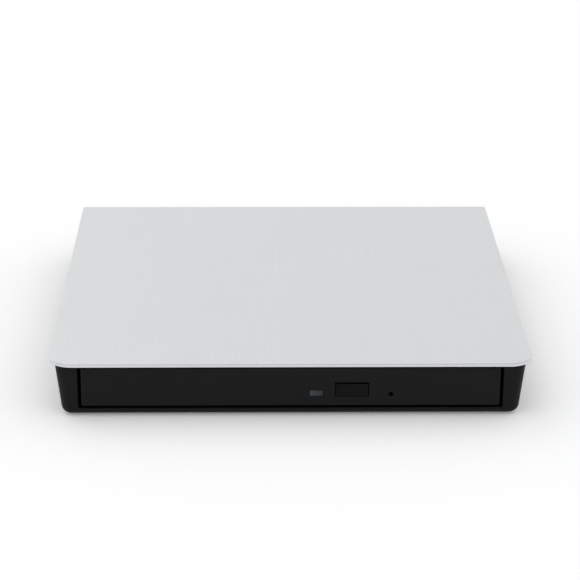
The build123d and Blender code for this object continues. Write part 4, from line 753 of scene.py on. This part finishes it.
# Pickup: a die-cast zinc body on the rods, a drawn shield over it, and the lens in its black holder
# between two magnets. The lens is moulded glass with a violet coating.
die_cast = metal_finish(
    "die_cast", (0.36, 0.36, 0.37), (0.28, 0.28, 0.29),
    gloss=0.5, lines=EVEN, depth=0.3, contrast=0.04, corner=0.2,
)
dress(die_cast, "pickup_base")
dress(hub_plastic, "lens_holder")
coated_glass, tree, shader = new_material("coated_glass")
shader.inputs["Base Color"].default_value = (0.30, 0.33, 0.80, 1)
shader.inputs["Transmission Weight"].default_value = 0.9
shader.inputs["IOR"].default_value = 1.6
shader.inputs["Coat Weight"].default_value = 0.6
shader.inputs["Coat Roughness"].default_value = 0.02
place = node(tree, "ShaderNodeTexCoord")
haze = node(tree, "ShaderNodeTexNoise", Scale=400.0)
haze_level = node(tree, "ShaderNodeMapRange", To_Min=0.02, To_Max=0.06)
chain(
    tree,
    (place, "Object", haze, "Vector"),
    (haze, "Fac", haze_level, "Value"),
    (haze_level, "Result", shader, "Roughness"),
)
dress(coated_glass, "objective_lens")

# Lens actuator's coils and wires: four flat copper coils glued to the holder's ends, between the magnets,
# and four bronze wires that hang the holder from the pickup's body and carry the current.
lens_reach, holder_end, holder_side, holder_low = 24.5 * MM, 3.4 * MM, 5.6 * MM, 8.2 * MM
coil_half_width, coil_half_height, strand, coil_thickness = 1.35 * MM, 0.62 * MM, 0.24 * MM, 0.3 * MM
coil_offset, coil_rise, squareness, line_points = 2.1 * MM, 1.0 * MM, 0.4, 48


def flat_coil(end_side, middle):
    """Rings of a flat coil that stands on one end of the lens holder, at a distance from its middle.

    The coil's line is a rounded rectangle: the cosine and the sine of its angle, each raised to a small power
    with its sign kept. Each ring is the winding's section, a strand wide on both sides of the line.
    """
    turn = np.linspace(0, 2 * np.pi, line_points, endpoint=False)
    wide, high = (np.sign(value) * np.abs(value) ** squareness for value in (np.cos(turn), np.sin(turn)))
    section = np.array([(-1, 0), (1, 0), (1, 1), (-1, 1)])
    side = middle + wide[:, None] * (coil_half_width + section[None, :, 0] * strand)
    height = holder_low + coil_rise + high[:, None] * (coil_half_height + section[None, :, 0] * strand)
    reach = lens_reach + end_side * (holder_end + section[:, 1] * coil_thickness)
    return at_traverse(np.broadcast_to(reach, side.shape), side, height)


coil_points, coil_faces = [], []
for number, (end_side, middle) in enumerate((end, side * coil_offset) for end in (-1, 1) for side in (-1, 1)):
    points, faces = closed_surface(flat_coil(end_side, middle), looped=True)
    coil_points.append(points)
    coil_faces += (np.array(faces) + number * len(points)).tolist()
piece("lens_coils", np.concatenate(coil_points), coil_faces, copper_wire, "lens")

wire_side, wire_radius, wall_reach, tab_reach = 5.95 * MM, 0.06 * MM, 5.1 * MM, 2.2 * MM
low_wire, high_wire, wire_rings = 8.6 * MM, 9.6 * MM, 24
wire_line = np.linspace(0, wall_reach + tab_reach, wire_rings)
for number, (side, height) in enumerate(((-1, low_wire), (-1, high_wire), (1, low_wire), (1, high_wire))):
    fixed = at_traverse(lens_reach - wall_reach, side * wire_side, height)
    points, faces = closed_surface(turned_rings(fixed, outward, wire_line, wire_radius, around=8))
    wire = piece(f"suspension_wire_{number + 1}", points, faces, turned_brass, None)
    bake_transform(wire)
tab_width, tab_length, tab_rise, tab_height = 0.45 * MM, 0.9 * MM, 0.2 * MM, 1.4 * MM
for name, side in (("wire_tab_left", -1), ("wire_tab_right", 1)):
    reach = lens_reach + tab_reach + np.array([(-1, 1, 1, -1)] * 2) * tab_length / 2
    height = holder_low + tab_rise + np.array([(0, 0, 1, 1)] * 2) * tab_height
    sideways = side * (holder_side + np.array([[0.0] * 4, [1.0] * 4]) * tab_width)
    points, faces = closed_surface(at_traverse(reach, sideways, height))
    piece(name, points, faces, hub_plastic, "lens")

# Eject latch, emergency slider and solenoid: black acetal levers, and a coil of copper wire between two
# steel flanges that pulls on the latch's armature.
acetal = moulded_finish(
    "acetal", (0.02, 0.02, 0.0205), (0.035, 0.035, 0.036),
    gloss=0.32, grain=0.4, depth=0.1, corner=0.12, specular=0.35,
)
dress(acetal, "latch_lever", "emergency_slider")
solenoid_start, solenoid_length = np.array((36.5, -60.0, 8.4)) * MM, 11.0 * MM
flange_thickness, flange_radius, flange_chamfer, core_radius = 0.8 * MM, 2.3 * MM, 0.1 * MM, 0.9 * MM
wound_radius, wire_bulge, wire_pitch = 2.05 * MM, 0.05 * MM, 0.24 * MM
winding_rings, coil_round = 120, 40
distances = np.linspace(flange_thickness, solenoid_length - flange_thickness, winding_rings)
radii = wound_radius + wire_bulge * np.abs(np.sin(np.pi * (distances - flange_thickness) / wire_pitch))
rings = turned_rings(solenoid_start, (1, 0, 0), distances, radii[:, None], coil_round)
points, faces = closed_surface(rings)
winding = piece("solenoid_winding", points, faces, copper_wire, "tray")
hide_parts("solenoid")
shoulder, narrowed = flange_thickness - flange_chamfer, flange_radius - flange_chamfer
flange_line = np.array([0.0, 0.0, flange_chamfer, shoulder, flange_thickness, flange_thickness])
radii = np.array([core_radius, narrowed, flange_radius, flange_radius, narrowed, core_radius])
for name, start in (("solenoid_front", 0.0), ("solenoid_back", solenoid_length - flange_thickness)):
    rings = turned_rings(solenoid_start, (1, 0, 0), start + flange_line, radii[:, None], coil_round)
    points, faces = closed_surface(rings)
    piece(name, points, faces, bright_strip, "tray")

# Push spring: music wire wound round the push rod between its lug and its collar.
# It shortens and lengthens as the rod moves; here it is one fixed mesh, and the two ends worked out for it
# are not used.
spring_front, spring_back, spring_x, spring_z = 27.0 * MM, 36.0 * MM, -50.0 * MM, 7.85 * MM
spring_wire, spring_radius, coils, closing = 0.16 * MM, 1.6 * MM, 9.5, 0.035
rings_per_coil, wire_round = 28, 10


def wound_wire():
    """Rings of round wire along a helix about the push rod.

    The line's advance is the share of its length, less a closing share times the sine of its full turn, which
    crowds the coils at both ends. Each ring of the wire lies square to that line.
    """
    share = np.linspace(0, 1, int(coils * rings_per_coil))
    length = spring_back - spring_front - 2 * spring_wire
    advance = spring_front + spring_wire + length * (share - closing * np.sin(2 * np.pi * share))
    turn = 2 * np.pi * coils * share
    inward = np.stack([np.cos(turn), np.zeros_like(turn), np.sin(turn)], axis=1)
    middle = np.stack([np.full_like(turn, spring_x), advance, np.full_like(turn, spring_z)], axis=1)
    line = middle + spring_radius * inward
    tangent = np.gradient(line, axis=0)
    tangent /= np.linalg.norm(tangent, axis=1)[:, None]
    square = np.cross(tangent, inward)
    square /= np.linalg.norm(square, axis=1)[:, None]
    inward = np.cross(square, tangent)
    angles = np.linspace(0, 2 * np.pi, wire_round, endpoint=False)[None, :, None]
    return line[:, None] + spring_wire * (np.cos(angles) * inward[:, None] + np.sin(angles) * square[:, None])


points, faces = closed_surface(wound_wire())
spring = piece("spring_coil", points, faces, polished_steel, None)
fixed, pushed = (spring_x, spring_front, spring_z), (spring_x, spring_back, spring_z)
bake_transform(spring)
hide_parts("push_spring")

# Flat cable: amber polyimide film over copper tracks, folded once between the board and the tray.
# Its fold travels half as far as the tray; here each strand is one fixed mesh.
flex_film, tree, shader = new_material("flex_film")
shader.inputs["Specular IOR Level"].default_value = 0.5
shader.inputs["Roughness"].default_value = 0.28
place = node(tree, "ShaderNodeTexCoord")
sideways = node(tree, "ShaderNodeSeparateXYZ")
count_tracks = node(tree, "ShaderNodeMath", {"operation": "MULTIPLY"})
track_pitch = 1.0 * MM
count_tracks.inputs[1].default_value = 1 / track_pitch
within = node(tree, "ShaderNodeMath", {"operation": "FRACT"})
off_middle = node(tree, "ShaderNodeMath", {"operation": "PINGPONG"})
off_middle.inputs[1].default_value = 0.5
track = node(tree, "ShaderNodeMapRange", From_Min=0.17, From_Max=0.2)
film_tone = node(tree, "ShaderNodeMix", {"data_type": "RGBA"})
film_tone.inputs[FIRST].default_value = (0.42, 0.17, 0.025, 1)
film_tone.inputs[SECOND].default_value = (0.62, 0.31, 0.07, 1)
raised = node(tree, "ShaderNodeBump", Distance=0.00003, Strength=0.7)
chain(
    tree,
    (place, "Object", sideways, "Vector"),
    (sideways, "X", count_tracks, 0),
    (count_tracks, "Value", within, 0),
    (within, "Value", off_middle, 0),
    (off_middle, "Value", track, "Value"),
    (track, "Result", film_tone, "Factor"),
    (film_tone, MIXED, shader, "Base Color"),
    (track, "Result", raised, "Height"),
    (raised, "Normal", shader, "Normal"),
)
flex_left, flex_right = 30.0 * MM, 42.0 * MM
lower, upper, film = 6.2 * MM, 9.4 * MM, 0.2 * MM
board_end, fold_y, tray_end = 24.8 * MM, -22.5 * MM, 45.0 * MM
film_points, strand_rings, fold_rings = 6, 60, 24


def ribbon(line):
    """Rings of the flat cable over a line of (y, z) points.

    Each ring is the film's section, square to the line: a row of points across one face and a row back.
    """
    tangent = np.gradient(line, axis=0)
    tangent /= np.linalg.norm(tangent, axis=1)[:, None]
    square = np.stack([-tangent[:, 1], tangent[:, 0]], axis=1)
    spots = np.linspace(flex_left, flex_right, film_points)
    sheet = np.concatenate([spots, spots[::-1]])
    side = np.repeat([-0.5, 0.5], film_points) * film
    flat = line[:, None] + side[None, :, None] * square[:, None]
    return np.concatenate([np.broadcast_to(sheet[None, :, None], (*flat.shape[:2], 1)), flat], axis=2)


def level_line(start, end, height):
    """Points of a level strand along y."""
    spots = np.linspace(start, end, strand_rings)
    return np.stack([spots, np.full_like(spots, height)], axis=1)


turn = np.linspace(-np.pi / 2, -3 * np.pi / 2, fold_rings)
fold_radius, fold_z = (upper - lower) / 2, (lower + upper + film) / 2
fold_line = np.stack([fold_y + fold_radius * np.cos(turn), fold_z + fold_radius * np.sin(turn)], axis=1)
lower_line = level_line(board_end, fold_y, lower + film / 2)
upper_line = level_line(fold_y, tray_end, upper + film / 2)
middle_x = (flex_left + flex_right) / 2
# How far each part's blend would reach on both sides of the fold, where the cable moves half as far as the
# tray.
# The ends worked out from it are not used. The lower strand's would start at the board, the fold's is long so
# that it would keep its shape, and the upper strand's is the least that would never turn back.
lower_reach, fold_reach, upper_reach = fold_y - board_end, 1000.0 * MM, 101.3 * MM
for name, line, reach in (
    ("flat_cable_lower", lower_line, lower_reach),
    ("flat_cable_fold", fold_line, fold_reach),
    ("flat_cable_upper", upper_line, upper_reach),
):
    points, faces = closed_surface(ribbon(line))
    strand = piece(name, points, faces, flex_film, None)
    fixed, moving = (middle_x, fold_y - reach, lower), (middle_x, fold_y + reach, lower)
    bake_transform(strand)
    if name == "flat_cable_upper":
        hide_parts("tray_flex")

# Controls behind the bezel: a push switch in a tin can, and a clear lamp that shines into the light window.
# The window is smoky acrylic, with painted lamp light: its colour is lighter at the side nearest its lamp.
dress(tin_shell, "eject_switch")
lamp_epoxy = moulded_finish(
    "lamp_epoxy", (0.70, 0.70, 0.62), (0.75, 0.75, 0.68),
    gloss=0.15, grain=1.0, depth=0.05, corner=0.1, specular=0.5,
)
dress(lamp_epoxy, "status_led")
smoky_acrylic, tree, shader = new_material("smoky_acrylic")
shader.inputs["Specular IOR Level"].default_value = 0.4
place = node(tree, "ShaderNodeTexCoord")
sideways = node(tree, "ShaderNodeSeparateXYZ")
# Painted lamp light: the window's colour fades from lighter at its lamp's side to darker at the other.
window_left, window_right = 5.8 * MM, 9.8 * MM
painted_lamp_light = node(tree, "ShaderNodeMapRange", From_Min=window_left, From_Max=window_right)
frost = node(tree, "ShaderNodeTexNoise", Scale=1500.0)
frosted = node(tree, "ShaderNodeMapRange", To_Min=0.22, To_Max=0.36)
smoke_and_painted_lamp_light = node(tree, "ShaderNodeMix", {"data_type": "RGBA"})
smoke_and_painted_lamp_light.inputs[FIRST].default_value = (0.031, 0.041, 0.051, 1)
smoke_and_painted_lamp_light.inputs[SECOND].default_value = (0.006, 0.010, 0.014, 1)
chain(
    tree,
    (place, "Object", sideways, "Vector"),
    (place, "Object", frost, "Vector"),
    (sideways, "X", painted_lamp_light, "Value"),
    (painted_lamp_light, "Result", smoke_and_painted_lamp_light, "Factor"),
    (smoke_and_painted_lamp_light, MIXED, shader, "Base Color"),
    (frost, "Fac", frosted, "Value"),
    (frosted, "Result", shader, "Roughness"),
)
dress(smoky_acrylic, "led_window")

# Front bezel and eject button: the same black ABS as the tub, a little smoother, with sharper moulded edges.
# The bezel is snapped to the tray's front, and the button slides in it, a shade darker than the bezel.
bezel_plastic = moulded_finish(
    "bezel_plastic", (0.0052, 0.0052, 0.0053), (0.009, 0.009, 0.0092),
    gloss=0.45, grain=0.25, depth=0.7, corner=0.12, specular=0.13,
)
dress(bezel_plastic, "front_bezel")
key_plastic = moulded_finish(
    "key_plastic", (0.002, 0.002, 0.002), (0.008, 0.008, 0.008),
    gloss=0.4, grain=0.2, depth=0.5, corner=0.12, specular=0.095,
)
dress(key_plastic, "eject_button")

# Lid panel and adhesive film: a thin black moulding that snaps into the tub, and the double-sided film
# that holds the plate down on it. Only their edges show, in the shadow gap under the plate.
dress(tub_plastic, "lid_panel")
adhesive_film = moulded_finish(
    "adhesive_film", (0.5, 0.5, 0.48), (0.55, 0.55, 0.53),
    gloss=0.6, grain=1.0, depth=0.05, corner=0.05, specular=0.3,
)
dress(adhesive_film, "plate_film")

# Top plate: brushed aluminium sheet, clear anodised, brushed from front to back, its edge cut and chamfered.
# Its chamfer along the front is toned darker than its face, a painted dark reflection of what lies in front
# of it.
plate_metal, tree, shader = new_material("plate_metal")
shader.inputs["Metallic"].default_value = 1.0
effect = node(
    tree,
    "ShaderNodeGroup",
    {"node_tree": rolled},
    Tone=(0.665, 0.672, 0.683, 1),
    Dull_Tone=(0.655, 0.663, 0.676, 1),
    Gloss=0.4,
    Line_Stretch=(7000.0, 25.0, 7000.0),
    Line_Depth=0.2,
    Contrast=0.05,
    Corner=0.1 * MM,
)
# Painted reflection: the colour is darkened where the normal slants forward off the top, on the front
# chamfer.
surface = node(tree, "ShaderNodeTexCoord")
upward = node(tree, "ShaderNodeSeparateXYZ")
off_top = node(tree, "ShaderNodeMapRange", From_Min=0.97, From_Max=0.9)
off_side = node(tree, "ShaderNodeMapRange", From_Min=0.35, From_Max=0.5)
on_chamfer = node(tree, "ShaderNodeMath", {"operation": "MULTIPLY"})
on_front = node(tree, "ShaderNodeMapRange", From_Min=-0.3, From_Max=-0.65)
painted_reflection_mask = node(tree, "ShaderNodeMath", {"operation": "MULTIPLY"})
darker = node(tree, "ShaderNodeMapRange", To_Min=1.0, To_Max=0.68)
with_painted_reflection = node(tree, "ShaderNodeVectorMath", {"operation": "SCALE"})
chain(
    tree,
    (surface, "Normal", upward, "Vector"),
    (upward, "Z", off_top, "Value"),
    (upward, "Z", off_side, "Value"),
    (off_top, "Result", on_chamfer, 0),
    (off_side, "Result", on_chamfer, 1),
    (upward, "Y", on_front, "Value"),
    (on_chamfer, "Value", painted_reflection_mask, 0),
    (on_front, "Result", painted_reflection_mask, 1),
    (painted_reflection_mask, "Value", darker, "Value"),
    (effect, "Color", with_painted_reflection, 0),
    (darker, "Result", with_painted_reflection, "Scale"),
    (with_painted_reflection, "Vector", shader, "Base Color"),
    (effect, "Roughness", shader, "Roughness"),
    (effect, "Normal", shader, "Normal"),
)
dress(plate_metal, "top_plate")
